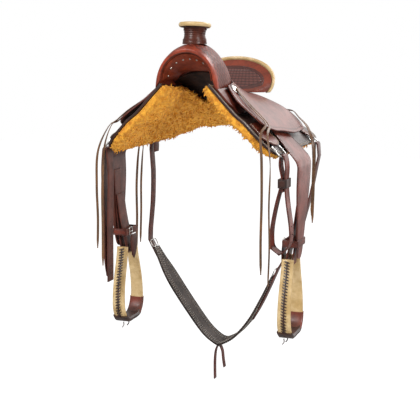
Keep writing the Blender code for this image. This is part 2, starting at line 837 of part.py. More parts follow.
def build_rigging():
    plans = (("front", FRONT_DEE_Y, FRONT_DEE_S, FRONT_DEE_HALF_Y, FRONT_DEE_HALF_S, 0.050, 0.172),
             ("rear", REAR_DEE_Y, REAR_DEE_S, REAR_DEE_HALF_Y, REAR_DEE_HALF_S, 0.030, 0.185))
    for word, side in SIDES:
        for place, y0, dee_s, half_y, half_s, half_leather, top_s in plans:
            bar_s = dee_s - half_s

            def lines(y):
                middle = sqrt(1 - min(abs(y - y0) / half_leather, 1.0) ** 2)
                stop = bar_s - 0.030 + 0.040 * middle
                return spread(top_s, bar_s - 0.036, 2) + spread(bar_s - 0.034, stop, 4)

            slope_sheet(word + "_" + place + "_rigging", side,
                        spread(y0 - 0.99 * half_leather, y0 + 0.99 * half_leather, 7), lines,
                        lambda y, s: rig_lift(s, bar_s), lambda y, s: rig_lift(s, bar_s) + RIG_THICK,
                        chestnut())
            upper = dee_bar(side, y0, dee_s - half_s) + DEE_LIFT * Vector((side * OUT.x, 0, OUT.z))
            lower = dee_bar(side, y0, dee_s + half_s)
            frame_ring(word + "_" + place + "_dee", (upper + lower) / 2, (0, 1, 0), lower - upper,
                       half_y, (lower - upper).length / 2, DEE_CORNER, DEE_WIRE, nickel())


# Fenders, stirrup leathers and stirrups

def fender_path(side, y, r):
    """Point on the fender's inner face, r down from its pivot."""
    s = FENDER_PIVOT_S + r
    if s <= FENDER_BEND_S:
        lift = mix(FENDER_LOW, FENDER_HIGH, smooth((s - 0.075) / 0.085))
        return slope_point(side, y, s, lift), Vector((side * OUT.x, 0, OUT.z))
    corner = slope_point(side, y, FENDER_BEND_S, FENDER_HIGH)
    bend = FENDER_BEND
    past = s - FENDER_BEND_S
    sweep = FENDER_HANG - SLOPE
    arc = bend * sweep
    turn = min(past / arc, 1.0) * sweep
    heading = SLOPE + turn
    centre = corner - bend * Vector((side * OUT.x, 0, OUT.z))
    out = Vector((side * sin(heading), 0, cos(heading)))
    place = centre + out * bend
    if past > arc:
        place = place + (past - arc) * Vector((side * cos(heading), 0, -sin(heading)))
    return place, out


def fender_half(r):
    """Half width of the fender, r down from its pivot."""
    return along(((-0.02, 0.036), (0.05, 0.038), (0.13, 0.052), (0.27, FENDER_HALF), (0.36, FENDER_HALF),
                  (0.50, 0.050), (0.555, 0.036), (0.615, 0.034)), r)


def build_fenders():
    stations = [-0.016, 0.02, 0.055, 0.10, 0.16, 0.22, 0.273, 0.285, 0.297, 0.307,
                0.36, 0.42, 0.48, 0.53, 0.57, 0.595, 0.610]
    for word, side in SIDES:
        lower = []
        upper = []
        for r in stations:
            half = fender_half(r)
            if r > 0.57:
                half *= sqrt(max(1 - ((r - 0.57) / 0.044) ** 2, 0.02))
            low_row = []
            high_row = []
            for i in range(5):
                y = FENDER_Y + half * (i / 2 - 1)
                place, out = fender_path(side, y, r)
                low_row.append(place)
                high_row.append(place + out * FENDER_THICK)
            lower.append(low_row)
            upper.append(high_row)
        slab(word + "_fender", lower, upper, chestnut())


def build_stirrup_leathers():
    """The strap behind the fender, round the stirrup's bolt and back up."""
    wrap = BOLT_RADIUS + LAYER + LEATHER_THICK / 2
    for word, side in SIDES:
        route = []
        for r in (0.345, 0.40, 0.46):
            place, out = fender_path(side, FENDER_Y, r)
            route.append(place - out * (LEATHER_THICK / 2 + LAYER))
        place, out = fender_path(side, FENDER_Y, 0.50)
        route.append(place - out * (LEATHER_THICK / 2 + 2 * LAYER))
        for degrees in (12, -24, -60, -96, -132, -168, -195):
            turn = radians(degrees)
            across = STIRRUP_X + wrap * cos(turn)
            route.append(Vector((side * across, FENDER_Y, BOLT_Z + wrap * sin(turn))))
        for r in (0.50, 0.46, 0.43):
            place, out = fender_path(side, FENDER_Y, r)
            apart = LEATHER_THICK * 1.5 + 2 * LAYER + mix(0.001, 0.007, (r - 0.43) / 0.07)
            route.append(place - out * apart)
        ribbon(word + "_stirrup_leather", route, (0, 1, 0), LEATHER_HALF, LEATHER_THICK, dark_leather())


def stirrup_route():
    """Centre line of the stirrup's wood, from the front ear round to the rear."""
    low = STIRRUP_TOP - STIRRUP_HEIGHT + STIRRUP_THICK / 2
    half = ((-STIRRUP_NECK, STIRRUP_TOP), (-STIRRUP_NECK - 0.008, STIRRUP_TOP - 0.045),
            (-STIRRUP_HALF + 0.012, STIRRUP_TOP - 0.115), (-STIRRUP_HALF + 0.004, STIRRUP_TOP - 0.170),
            (-STIRRUP_HALF + 0.006, low + 0.040), (-STIRRUP_HALF + 0.020, low + 0.013),
            (-0.038, low + 0.001))
    points = [Vector((0, FENDER_Y + y, z)) for y, z in half]
    points.append(Vector((0, FENDER_Y, low)))
    points += [Vector((0, FENDER_Y - y, z)) for y, z in reversed(half)]
    return eased(points, 0.030)


def stirrup_ring(points, j, side, grow):
    """Rounded cross-section of the stirrup at a route point."""
    before = points[max(j - 1, 0)]
    after = points[min(j + 1, len(points) - 1)]
    ahead = (after - before).normalized()
    face = ahead.cross(Vector((1, 0, 0)))
    share = abs(j / (len(points) - 1) * 2 - 1)
    wide = STIRRUP_WIDTH / 2 * mix(1.12, 0.92, share) + grow
    thick = STIRRUP_THICK / 2 + grow
    ring = []
    for a, b in ((1, 0.45), (0.8, 1), (-0.8, 1), (-1, 0.45), (-1, -0.45), (-0.8, -1), (0.8, -1), (1, -0.45)):
        ring.append(points[j] + Vector((side * STIRRUP_X + wide * a, 0, 0)) + face * thick * b)
    return ring


def build_stirrups():
    points = stirrup_route()
    rear = len(points) * 3 // 4
    for word, side in SIDES:
        rings = [stirrup_ring(points, j, side, 0.0) for j in range(len(points))]
        loft(word + "_stirrup", rings, rawhide())
        wrapped = range(rear - 5, rear + 2)
        outer = [stirrup_ring(points, j, side, FIT + TREAD_THICK) for j in wrapped]
        inner = [stirrup_ring(points, j, side, FIT) for j in reversed(wrapped)]
        loft(word + "_tread_wrap", outer + inner, chestnut(), closed=True)
        reach = STIRRUP_NECK - STIRRUP_THICK / 2 + LAYER - FIT
        profile = [(0, -reach), (BOLT_RADIUS, -reach), (BOLT_RADIUS, reach), (0, reach)]
        turned(word + "_stirrup_bolt", profile,
               (side * STIRRUP_X, FENDER_Y, BOLT_Z), (0, 1, 0), nickel(), 14)


def build_hobbles():
    """Hobble straps that gather fender and leather above each stirrup, with their buckles."""
    for word, side in SIDES:
        face, out = fender_path(1, FENDER_Y, HOBBLE_R)
        outer = face.x + FENDER_THICK + LAYER
        inner = STIRRUP_X - BOLT_RADIUS - 2 * LEATHER_THICK
        middle = Vector((side * (outer + inner) / 2, FENDER_Y, face.z))
        half_y = fender_half(HOBBLE_R - 2 * HOBBLE_HALF) + LAYER
        build_keeper(word + "_hobble_strap", middle, (outer - inner) / 2, half_y, HOBBLE_HALF, HOBBLE_THICK,
                     chestnut())
        spot = Vector((side * (inner - HOBBLE_THICK - FIT - HOBBLE_WIRE), FENDER_Y - 0.014, face.z))
        frame_ring(word + "_hobble_buckle", spot, (0, 1, 0), (0, 0, 1), HOBBLE_HALF + 0.001,
                   HOBBLE_HALF + 0.003, 0.005, HOBBLE_WIRE, nickel())


# Straps

def round_bar(x, z, radius, degrees):
    """Points round a dee's bar, seen from the front, at angles from the outside over the top."""
    return [(x + radius * cos(radians(a)), z + radius * sin(radians(a))) for a in degrees]


def strap_route(outline, y):
    return [(x, y, z) for x, z in outline]


def build_latigo():
    """Near latigo: over the dee's bar, through its keeper, then a long hanging loop."""
    y = FRONT_DEE_Y
    bar = dee_bar(1, y, FRONT_DEE_S + FRONT_DEE_HALF_S)
    x, z = bar.x, bar.z
    turn = DEE_WIRE + LAYER + STRAP_THICK / 2
    outline = [(x + 0.002, z - 0.110), (x + 0.003, z - 0.080), (x - 0.004, z - 0.050),
               (x - 0.010, z - 0.025)]
    outline += round_bar(x, z, turn, (180, 135, 90, 45, 0))
    outline += [(x + 0.012, z - 0.025), (x + 0.012, z - 0.050), (x + 0.009, z - 0.080),
                (x + 0.014, z - 0.140),
                (x + 0.030, z - 0.245), (x + 0.022, z - 0.290),
                (x - 0.006, z - 0.309), (x - 0.033, z - 0.290),
                (x - 0.037, z - 0.245), (x - 0.018, z - 0.140), (x - 0.0035, z - 0.088)]
    ribbon("latigo", strap_route(outline, y), (0, 1, 0), LATIGO_HALF, STRAP_THICK, chestnut())
    build_keeper("latigo_keeper", (x + 0.0028, y, z - 0.083), 0.0112, LATIGO_HALF + LAYER, 0.014, 0.003,
                 dark_leather())


def build_keeper(name, centre, half_x, half_y, tall, thick, mat):
    """A flat leather band round a bundle of straps."""
    centre = Vector(centre)
    corners = ((1, 1), (-1, 1), (-1, -1), (1, -1))
    rings = []
    for dz, grow in ((-tall, thick), (tall, thick), (tall, 0.0), (-tall, 0.0)):
        rings.append([centre + Vector((sx * (half_x + grow), sy * (half_y + grow), dz))
                      for sx, sy in corners])
    return loft(name, rings, mat, closed=True)


def build_off_billet():
    """Off billet: one strap folded over the off front dee, both ends hanging."""
    y = FRONT_DEE_Y
    bar = dee_bar(-1, y, FRONT_DEE_S + FRONT_DEE_HALF_S)
    x, z = bar.x, bar.z
    turn = DEE_WIRE + LAYER + STRAP_THICK / 2
    outline = [(x + 0.004, z - 0.446), (x + 0.007, z - 0.240), (x + 0.012, z - 0.060)]
    outline += round_bar(x, z, turn, (0, 45, 90, 135, 180))
    outline += [(x - 0.012, z - 0.060), (x - 0.008, z - 0.240), (x - 0.006, z - 0.430)]
    ribbon("off_billet", strap_route(outline, y), (0, 1, 0), tapered(BILLET_HALF, 0.006, 0.030), STRAP_THICK,
           chestnut())


def build_flank():
    """Flank billets from the rear dees, their buckles and the flank cinch."""
    y = REAR_DEE_Y
    bar = dee_bar(1, y, REAR_DEE_S + REAR_DEE_HALF_S)
    x, z = bar.x, bar.z
    turn = DEE_WIRE + FLANK_SLACK + STRAP_THICK / 2
    route = [Vector((x * a, y, z - FLANK_DROP * b)) for a, b in CINCH_SHAPE]

    def half(here, total):
        return mix(0.022, CINCH_HALF, smooth(min(here, total - here) / 0.13))

    ribbon("flank_cinch", route, (0, 1, 0), half, CINCH_THICK, dark_leather())
    outside = (CINCH_THICK + STRAP_THICK) / 2 + LAYER / 2
    plans = (("near", 1, route[::-1], NEAR_BILLET_SHAPE), ("off", -1, route, OFF_BILLET_SHAPE))
    for word, side, cinch, lie in plans:
        lean = (cinch[0] - cinch[1]).normalized()
        across = Vector((0, -side, 0))
        centre = cinch[0] + lean * (FLANK_BUCKLE_HALF + FLANK_BUCKLE_WIRE + 2 * FIT)
        frame_ring(word + "_flank_buckle", centre, (0, 1, 0), lean, FLANK_BILLET_HALF + 0.006,
                   FLANK_BUCKLE_HALF, 0.006, FLANK_BUCKLE_WIRE, nickel(), 5)
        line = [(side * (x - 0.008), y, z - 0.050), (side * (x - 0.009), y, z - 0.025)]
        line += [(side * a, y, b) for a, b in round_bar(x, z, turn, (180, 135, 90, 45, 0))]
        line += [(side * (x + 0.010), y, z - 0.040)]
        line += [(side * x * a, y, z - FLANK_DROP * b) for a, b in lie]
        line += [centre + lean * FLANK_BUCKLE_HALF * a + lean.cross(across) * (outside + LAYER)
                 for a in (1.4, -0.4)]
        for k in (1, 2):
            back = (cinch[k - 1] - cinch[k + 1]).normalized()
            line.append(cinch[k] + back.cross(across) * (outside + k * LAYER / 2))
        ribbon(word + "_flank_billet", line, (0, 1, 0), tapered(FLANK_BILLET_HALF, 0.006, 0.030),
               STRAP_THICK, chestnut())
    return min(route, key=lambda p: p.z)


def build_connector(low):
    """Connecting strap sewn under the middle of the flank cinch, with two hanging ends."""
    top = low.z - CINCH_THICK / 2 - STRAP_THICK / 2 - 2 * FIT
    route = [(low.x + a, low.y - 0.030, top + b) for a, b in
             ((0.020, -0.080), (0.014, -0.045), (0.013, -0.018), (0.004, 0.0), (-0.006, 0.0),
              (-0.015, -0.018), (-0.018, -0.060), (-0.017, -0.128))]
    ribbon("connecting_strap", route, (0, 1, 0), CONNECTOR_HALF, STRAP_THICK, chestnut())


def on_jockey(side, y, s, above=0.0):
    """A point over the top of the seat jockey, or of the rear jockey behind it."""
    seat = seat_lift(s) + SEAT_THICK
    rear = rear_lift(s) + REAR_JOCKEY_THICK
    return slope_point(side, y, s, mix(seat, rear, smooth((y - 0.182) / 0.010)) + above)


def jockey_normal(side, y, s, step=0.015):
    """Which way the jockey faces, measured over a concho's width."""
    back = on_jockey(side, y + step, s) - on_jockey(side, y - step, s)
    down = on_jockey(side, y, s + step) - on_jockey(side, y, s - step)
    return down.cross(back).normalized() * side


def build_concho(name, place, normal):
    """A domed round plate."""
    r = CONCHO_RADIUS
    t = CONCHO_THICK
    turned(name, [(0, 0), (r, 0), (r, 0.3 * t), (0.8 * r, 0.75 * t), (0.4 * r, t), (0, t)],
           place, normal, nickel(), 14)


FRONT_CONCHO = (-0.150, 0.048, FIT)
REAR_CONCHO = (0.214, 0.110, 0.0016)

# Each thong: over the jockey as (y, s) behind its edge, then hanging as (x, y, z)
THONGS = (
    ("near_front_thong", 1, FRONT_CONCHO,
     (((-0.178, 0.105), (-0.205, 0.160), (-0.218, 0.203)),
      ((0.250, -0.268, -0.110), (0.256, -0.276, -0.190), (0.257, -0.275, -0.310), (0.254, -0.272, -0.440),
       (0.256, -0.274, -0.543))),
     (((-0.168, 0.118), (-0.188, 0.170), (-0.200, 0.211)),
      ((0.270, -0.262, -0.110), (0.284, -0.278, -0.200), (0.280, -0.274, -0.330), (0.283, -0.276, -0.460),
       (0.279, -0.274, -0.578)))),
    ("off_front_thong", -1, FRONT_CONCHO,
     (((-0.178, 0.105), (-0.200, 0.160), (-0.214, 0.203)),
      ((-0.252, -0.262, -0.100), (-0.273, -0.270, -0.170), (-0.281, -0.272, -0.300),
       (-0.283, -0.270, -0.430),
       (-0.284, -0.272, -0.556))),
     (((-0.168, 0.118), (-0.186, 0.170), (-0.196, 0.211)),
      ((-0.266, -0.246, -0.100), (-0.297, -0.266, -0.180), (-0.303, -0.268, -0.290),
       (-0.302, -0.266, -0.400),
       (-0.304, -0.268, -0.500)))),
    ("near_rear_thong", 1, REAR_CONCHO,
     (((0.199, 0.138), (0.180, 0.170), (0.160, 0.205)),
      ((0.292, 0.135, -0.125), (0.314, 0.125, -0.190), (0.316, 0.121, -0.300), (0.313, 0.121, -0.420))),
     (((0.206, 0.140), (0.183, 0.170), (0.168, 0.202)),
      ((0.290, 0.155, -0.125), (0.312, 0.150, -0.190), (0.313, 0.146, -0.310), (0.310, 0.146, -0.450)))),
    ("off_rear_thong", -1, REAR_CONCHO,
     (((0.199, 0.138), (0.180, 0.170), (0.160, 0.205)),
      ((-0.292, 0.135, -0.125), (-0.322, 0.124, -0.190), (-0.335, 0.120, -0.330), (-0.336, 0.121, -0.470),
       (-0.340, 0.120, -0.600))),
     (((0.206, 0.140), (0.183, 0.170), (0.168, 0.202)),
      ((-0.290, 0.152, -0.125), (-0.314, 0.142, -0.190), (-0.324, 0.136, -0.320), (-0.325, 0.134, -0.440),
       (-0.330, 0.136, -0.560)))),
)


def thong_route(side, concho, first, second):
    """One thong, from its first tip over its concho to its second, and the way its width lies."""
    y, s, bed = concho
    up = jockey_normal(side, y, s)
    over = on_jockey(side, y, s) + up * (bed + CONCHO_THICK + LAYER + THONG_THICK / 2)
    legs = []
    for draped, hanging in (first, second):
        leg = [on_jockey(side, a, b, THONG_DRAPE) for a, b in draped]
        leaving = leg[0] - over
        leaving -= up * leaving.dot(up)
        leg.insert(0, over + leaving.normalized() * CONCHO_RADIUS)
        legs.append(leg + [Vector(p) for p in hanging])
    return list(reversed(legs[0])) + [over] + legs[1], up.cross(leaving)


def build_conchos_and_thongs():
    for name, side, concho, first, second in THONGS:
        route, across = thong_route(side, concho, first, second)
        ribbon(name, route, across, THONG_HALF, THONG_THICK, latigo_string(), 0.055)
        place = on_jockey(side, *concho)
        build_concho(name.replace("thong", "concho"), place, jockey_normal(side, *concho[:2]))


def hang_on(point, names):
    """Put the origins of pieces on the point they turn about."""
    for name in names:
        thing = bpy.data.objects[name]
        thing.data.transform(Matrix.Translation(-point))
        thing.location = point


def place_origins():
    """Give each moving piece its joint for an origin."""
    front = dee_bar(1, FRONT_DEE_Y, FRONT_DEE_S + FRONT_DEE_HALF_S)
    rear = dee_bar(1, REAR_DEE_Y, REAR_DEE_S + REAR_DEE_HALF_S)
    for word, side in SIDES:
        pivot = slope_point(side, FENDER_Y, FENDER_PIVOT_S, FENDER_LOW)
        hung = ("fender", "stirrup_leather", "hobble_strap", "hobble_buckle")
        hang_on(pivot, [word + "_" + part for part in hung])
        hang_on(Vector((side * STIRRUP_X, FENDER_Y, BOLT_Z)),
                [word + "_" + part for part in ("stirrup", "tread_wrap", "stirrup_bolt")])
    hang_on(front, ["latigo", "latigo_keeper"])
    hang_on(Vector((-front.x, front.y, front.z)), ["off_billet"])
    hang_on(Vector((0, rear.y, rear.z)), ["flank_cinch", "near_flank_billet", "off_flank_billet",
                                          "near_flank_buckle", "off_flank_buckle", "connecting_strap"])


def build():
    clear_scene()
    build_bars()
    fork, cover = build_fork()
    build_horn(fork, cover)
    build_seat()
    build_cantle()
    build_rear_jockeys()
    build_skirts()
    build_rigging()
    build_fenders()
    build_stirrup_leathers()
    build_stirrups()
    build_hobbles()
    build_latigo()
    build_off_billet()
    low = build_flank()
    build_connector(low)
    build_conchos_and_thongs()
    place_origins()


if __name__ == "__main__":
    build()
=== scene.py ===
"""Wade saddle: tooled leathers, rawhide, woolskins, strings and metal."""

import json
import random
from contextlib import contextmanager
from math import atan2, cos, inf, pi, radians, sin, tau

import bmesh
import bpy
from mathutils import Matrix, Vector, noise
from mathutils.bvhtree import BVHTree
from mathutils.kdtree import KDTree


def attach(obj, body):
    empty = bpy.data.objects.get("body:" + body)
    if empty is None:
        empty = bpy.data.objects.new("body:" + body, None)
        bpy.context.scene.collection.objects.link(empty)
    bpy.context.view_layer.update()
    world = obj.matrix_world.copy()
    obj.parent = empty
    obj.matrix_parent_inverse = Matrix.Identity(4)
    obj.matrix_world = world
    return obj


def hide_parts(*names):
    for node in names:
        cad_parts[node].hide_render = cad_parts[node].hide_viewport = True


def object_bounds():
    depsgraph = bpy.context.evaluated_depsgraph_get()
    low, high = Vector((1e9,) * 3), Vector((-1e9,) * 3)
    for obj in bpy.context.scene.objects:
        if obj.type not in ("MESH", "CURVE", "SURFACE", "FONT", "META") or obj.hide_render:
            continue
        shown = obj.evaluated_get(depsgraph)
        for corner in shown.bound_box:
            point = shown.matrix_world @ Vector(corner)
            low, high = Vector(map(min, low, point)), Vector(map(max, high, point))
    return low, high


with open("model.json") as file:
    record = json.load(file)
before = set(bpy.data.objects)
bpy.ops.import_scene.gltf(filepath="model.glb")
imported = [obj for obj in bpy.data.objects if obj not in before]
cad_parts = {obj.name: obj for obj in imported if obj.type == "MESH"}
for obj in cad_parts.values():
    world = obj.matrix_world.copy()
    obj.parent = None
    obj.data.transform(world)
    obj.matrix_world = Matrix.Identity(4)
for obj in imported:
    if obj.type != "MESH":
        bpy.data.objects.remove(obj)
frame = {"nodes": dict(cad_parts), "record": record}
CAD_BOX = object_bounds()

bl_info = {
    "name": "Wade Saddle",
    "version": (1, 0, 0),
    "blender": (4, 5, 0),
    "location": "View3D > Sidebar > Saddle",
    "description": "Builds the dressed wade saddle piece by piece",
    "category": "Object",
}


class SaddleColours(bpy.types.PropertyGroup):
    """Colours of the saddle's leathers, rawhide, wool and metal."""
    chestnut: bpy.props.FloatVectorProperty(
        name="Chestnut", description="Finished grain side of the main leathers", subtype="COLOR",
        size=3, min=0, max=1, default=(0.160, 0.027, 0.013))
    dark: bpy.props.FloatVectorProperty(
        name="Dark leather", description="Oiled skirts and the latigo's keeper", subtype="COLOR",
        size=3, min=0, max=1, default=(0.045, 0.015, 0.010))
    rawhide: bpy.props.FloatVectorProperty(
        name="Rawhide", description="Bindings and stirrups", subtype="COLOR",
        size=3, min=0, max=1, default=(0.60, 0.440, 0.220))
    wool: bpy.props.FloatVectorProperty(
        name="Wool", description="Woolskin under the skirts", subtype="COLOR",
        size=3, min=0, max=1, default=(0.83, 0.390, 0.034))
    nickel: bpy.props.FloatVectorProperty(
        name="Nickel", description="Dees, buckles, conchos and studs", subtype="COLOR",
        size=3, min=0, max=1, default=(0.78, 0.77, 0.74))
    string: bpy.props.FloatVectorProperty(
        name="Strings", description="Oiled saddle strings", subtype="COLOR",
        size=3, min=0, max=1, default=(0.130, 0.058, 0.019))


class SaddleSizes(bpy.types.PropertyGroup):
    """Sizes of the sewn and stamped detail."""
    stitch: bpy.props.FloatProperty(
        name="Stitch", description="Length of one stitch and its gap", subtype="DISTANCE", unit="LENGTH",
        min=0.002, max=0.02, default=0.0048)
    basket: bpy.props.FloatProperty(
        name="Basket stamp", description="Side of one basket stamp", subtype="DISTANCE", unit="LENGTH",
        min=0.002, max=0.03, default=0.0155)
    pile: bpy.props.FloatProperty(
        name="Wool pile", description="How far the wool stands out", subtype="DISTANCE", unit="LENGTH",
        min=0.002, max=0.03, default=0.011)
    lace: bpy.props.FloatProperty(
        name="Lace pitch", description="Distance between two turns of the stirrup lacing",
        subtype="DISTANCE", unit="LENGTH", min=0.003, max=0.03, default=0.0094)
    turns: bpy.props.IntProperty(
        name="Horn turns", description="Turns of leather round the horn's neck", min=1, max=12, default=6)
    studs: bpy.props.IntProperty(
        name="Gullet studs", description="Studs round the gullet", min=0, max=20, default=9)


def colours():
    """The colours set in the scene."""
    return bpy.context.scene.saddle_colours


def sizes():
    """The sizes set in the scene."""
    return bpy.context.scene.saddle_sizes


ACROSS = Vector((1, 0, 0))
BACK = Vector((0, 1, 0))
# The leathers face away from a line through this point, from the horse's head to its tail
MID = Vector((0, 0.0, -0.42))
SHARP = radians(48)
EDGE_STEP = 0.0025
# How far off a surface is looked for
PROBE = 0.09
BODY = {node: body for body, nodes in frame["record"]["behaviour"]["bodies"].items() for node in nodes}
SADDLE = "saddle_body"
SIDES = (("near", 1), ("off", -1))
# The longest outer border (1) and inner border (-1) of each refined piece, by its name
BORDERS = {}


# Modelling helpers

def drop_selection():
    """Leave nothing selected."""
    bpy.ops.object.select_all(action="DESELECT")


def pick(obj):
    """Make obj the only selected and active object."""
    drop_selection()
    obj.select_set(True)
    bpy.context.view_layer.objects.active = obj


@contextmanager
def editing(obj):
    """Edit mode, with the whole mesh selected."""
    pick(obj)
    bpy.ops.object.mode_set(mode="EDIT")
    bpy.ops.mesh.select_all(action="SELECT")
    yield
    bpy.ops.object.mode_set(mode="OBJECT")


def apply_modifier(obj, kind, **settings):
    """Add a modifier with these settings and apply it."""
    pick(obj)
    added = obj.modifiers.new("shape", kind)
    for key, value in settings.items():
        setattr(added, key, value)
    bpy.ops.object.modifier_apply(modifier=added.name)


def ease_edges(obj, width, angle=radians(40)):
    """Round off the edges that turn by more than the angle."""
    apply_modifier(obj, "BEVEL", width=width, segments=2, limit_method="ANGLE", angle_limit=angle)


def new_object(name, mesh):
    """An object that holds the mesh."""
    obj = bpy.data.objects.new(name, mesh)
    bpy.context.collection.objects.link(obj)
    return obj


def mesh_object(name, verts, faces):
    """An object with a mesh of these points and faces."""
    mesh = bpy.data.meshes.new(name)
    mesh.from_pydata([tuple(v) for v in verts], [], faces)
    return new_object(name, mesh)


def seal(obj):
    """Weld the mesh and turn its normals outwards."""
    with editing(obj):
        bpy.ops.mesh.remove_doubles(threshold=0.00002)
        bpy.ops.mesh.normals_make_consistent(inside=False)


def cast_of(node, name):
    """A welded copy of a frame node, with its triangles joined into four-sided faces."""
    obj = new_object(name, frame["nodes"][node].data.copy())
    obj.data.materials.clear()
    seal(obj)
    with editing(obj):
        bpy.ops.mesh.tris_convert_to_quads(face_threshold=radians(35), shape_threshold=radians(75))
    for layer in list(obj.data.uv_layers):
        obj.data.uv_layers.remove(layer)
    return obj


def mesh_work(obj):
    """The object's mesh, opened for reading. Whoever asks for it frees it."""
    work = bmesh.new()
    work.from_mesh(obj.data)
    return work


def sharp_edges(obj, angle):
    """The edges whose two faces turn by more than the angle."""
    work = mesh_work(obj)
    found = [e.index for e in work.edges if len(e.link_faces) == 2 and e.calc_face_angle(0) > angle]
    work.free()
    return found


def tree_of(obj):
    """A finder of places on the object's surface."""
    work = mesh_work(obj)
    found = BVHTree.FromBMesh(work)
    work.free()
    return found


def set_mark(obj, name, values, domain="POINT"):
    """Store one number for each vertex, or for each edge where the domain is EDGE."""
    layer = obj.data.attributes.get(name) or obj.data.attributes.new(name, "FLOAT", domain)
    layer.data.foreach_set("value", values)


def edge_tree(obj):
    """A finder of the nearest place on the mesh's sharp edges."""
    verts = obj.data.vertices
    spots = []
    for index in sharp_edges(obj, SHARP):
        a, b = (verts[v].co for v in obj.data.edges[index].vertices)
        steps = max(1, int((b - a).length / EDGE_STEP))
        spots += [a.lerp(b, j / steps) for j in range(steps + 1)]
    tree = KDTree(len(spots))
    for j, spot in enumerate(spots):
        tree.insert(spot, j)
    tree.balance()
    return tree if spots else None


def smooth(value):
    """Ease from 0 to 1."""
    value = min(1.0, max(0.0, value))
    return value * value * (3 - 2 * value)


def outward(spot):
    """The way out from the saddle's middle line at a place."""
    return Vector((spot.x - MID.x, 0, spot.z - MID.z)).normalized()


def backwards(up):
    """The way to the horse's tail along a plate that faces up."""
    return (BACK - up * up.y).normalized()


def finish_piece(obj, finish, body, nodes=(), angle=radians(35)):
    """Give a piece its material, smooth shading and body, and the nodes that it stands for."""
    obj.data.materials.append(bpy.data.materials["fine_" + finish])
    pick(obj)
    bpy.ops.object.shade_smooth_by_angle(angle=angle)
    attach(obj, body)
    if nodes:
        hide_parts(*nodes)
    drop_selection()


def finish_plain(obj, finish, body, nodes=()):
    """Finish a piece modelled here, which shows its grain side all over and no burnt edge."""
    count = len(obj.data.vertices)
    set_mark(obj, "edge", [0.02] * count)
    set_mark(obj, "side", [1.0] * count)
    finish_piece(obj, finish, body, nodes)


def border(obj, way):
    """The longest closed line of sharp edges round the faces that look outwards, or inwards with way -1."""
    work = mesh_work(obj)
    work.normal_update()
    follow = {}
    for edge in work.edges:
        if len(edge.link_faces) != 2 or edge.calc_face_angle(0) < SHARP:
            continue
        good = [f for f in edge.link_faces if f.normal.dot(outward(f.calc_center_median())) * way > 0.15]
        if len(good) == 1:
            loop = next(k for k in good[0].loops if k.edge == edge)
            follow[loop.vert.index] = loop.link_loop_next.vert.index
    at = {v.index: v.co.copy() for v in work.verts}
    work.free()
    lines = []
    while follow:
        start, here = follow.popitem()
        line = [start, here]
        while here in follow:
            here = follow.pop(here)
            line.append(here)
        if line[0] == line[-1]:
            line.pop()
        lines.append([at[k] for k in line])
    return max(lines, key=len, default=[])


def refine(node, name, levels=2, bevel=0.0009, hard=SHARP):
    """A finer piece cast from a frame node: its broad faces run smooth and its edges are eased."""
    obj = cast_of(node, name)
    kept = set(sharp_edges(obj, hard))
    set_mark(obj, "crease_edge", [float(e.index in kept) for e in obj.data.edges], "EDGE")
    if levels:
        apply_modifier(obj, "SUBSURF", levels=levels, boundary_smooth="PRESERVE_CORNERS",
                       use_limit_surface=False)
    tree = edge_tree(obj)
    BORDERS[name] = {way: border(obj, way) for way in (1, -1)}
    if bevel:
        ease_edges(obj, bevel, radians(44))
    if "crease_edge" in obj.data.attributes:
        obj.data.attributes.remove(obj.data.attributes["crease_edge"])
    verts = obj.data.vertices
    if tree:
        set_mark(obj, "edge", [tree.find(v.co)[2] for v in verts])
    set_mark(obj, "side", [(v.normal.dot(outward(v.co)) + 1) / 2 for v in verts])
    return obj


def dress(node, finish, **settings):
    """Replace a frame node with a finer piece of the same shape."""
    obj = refine(node, node + "_dressed", **settings)
    finish_piece(obj, finish, BODY[node], (node,))
    return obj


def dress_metal(node):
    """Replace a dee's or a buckle's node with polished metal of the same shape."""
    return dress(node, "nickel", hard=radians(80), bevel=0)


def lay_out(obj, place):
    """Store a flat layout, in metres, for each corner of the mesh."""
    layer = obj.data.uv_layers.new(name="lay")
    at = [place(v.co) for v in obj.data.vertices]
    for loop in obj.data.loops:
        layer.data[loop.index].uv = at[loop.vertex_index]


def length_of(line):
    """The length of a line of points."""
    return sum((b - a).length for a, b in zip(line, line[1:]))


def walk(line, gap, want, last=inf):
    """Places an even gap apart along a line, from want to last, with the way ahead at each."""
    run = 0.0
    for a, b in zip(line, line[1:]):
        length = (b - a).length
        while length > 0 and want <= run + length and want < last:
            yield a.lerp(b, (want - run) / length), (b - a) / length
            want += gap
        run += length


def spaced(points, gap):
    """Places about the gap apart round a closed line, with the way ahead at each."""
    line = points + points[:1]
    total = length_of(line)
    gap = total / max(2, round(total / gap))
    return walk(line, gap, gap / 2)


def ease_line(points, gap):
    """A smooth line through the points, in even steps of about gap."""
    points = [Vector(p) for p in points]
    fine = []
    ends = [points[0] * 2 - points[1]] + points + [points[-1] * 2 - points[-2]]
    for a, b, c, d in zip(ends, ends[1:], ends[2:], ends[3:]):
        steps = max(2, int((c - b).length / gap * 3))
        for j in range(steps):
            t = j / steps
            fine.append(0.5 * (2 * b + (c - a) * t + (2 * a - 5 * b + 4 * c - d) * t * t
                               + (3 * b - a - 3 * c + d) * t * t * t))
    fine.append(points[-1])
    total = length_of(fine)
    gap = total / round(total / gap)
    return [fine[0], *(spot for spot, _ in walk(fine, gap, gap, total - gap / 2)), fine[-1]]


def ring_faces(count, size):
    """Faces that close a row of count rings, each of size points."""
    faces = [[r * size + k, r * size + (k + 1) % size, (r + 1) * size + (k + 1) % size, (r + 1) * size + k]
             for r in range(count - 1) for k in range(size)]
    return faces + [list(range(size))[::-1], list(range((count - 1) * size, count * size))]


def skin(name, rings):
    """A closed mesh over a row of rings."""
    obj = mesh_object(name, [p for ring in rings for p in ring], ring_faces(len(rings), len(rings[0])))
    seal(obj)
    return obj


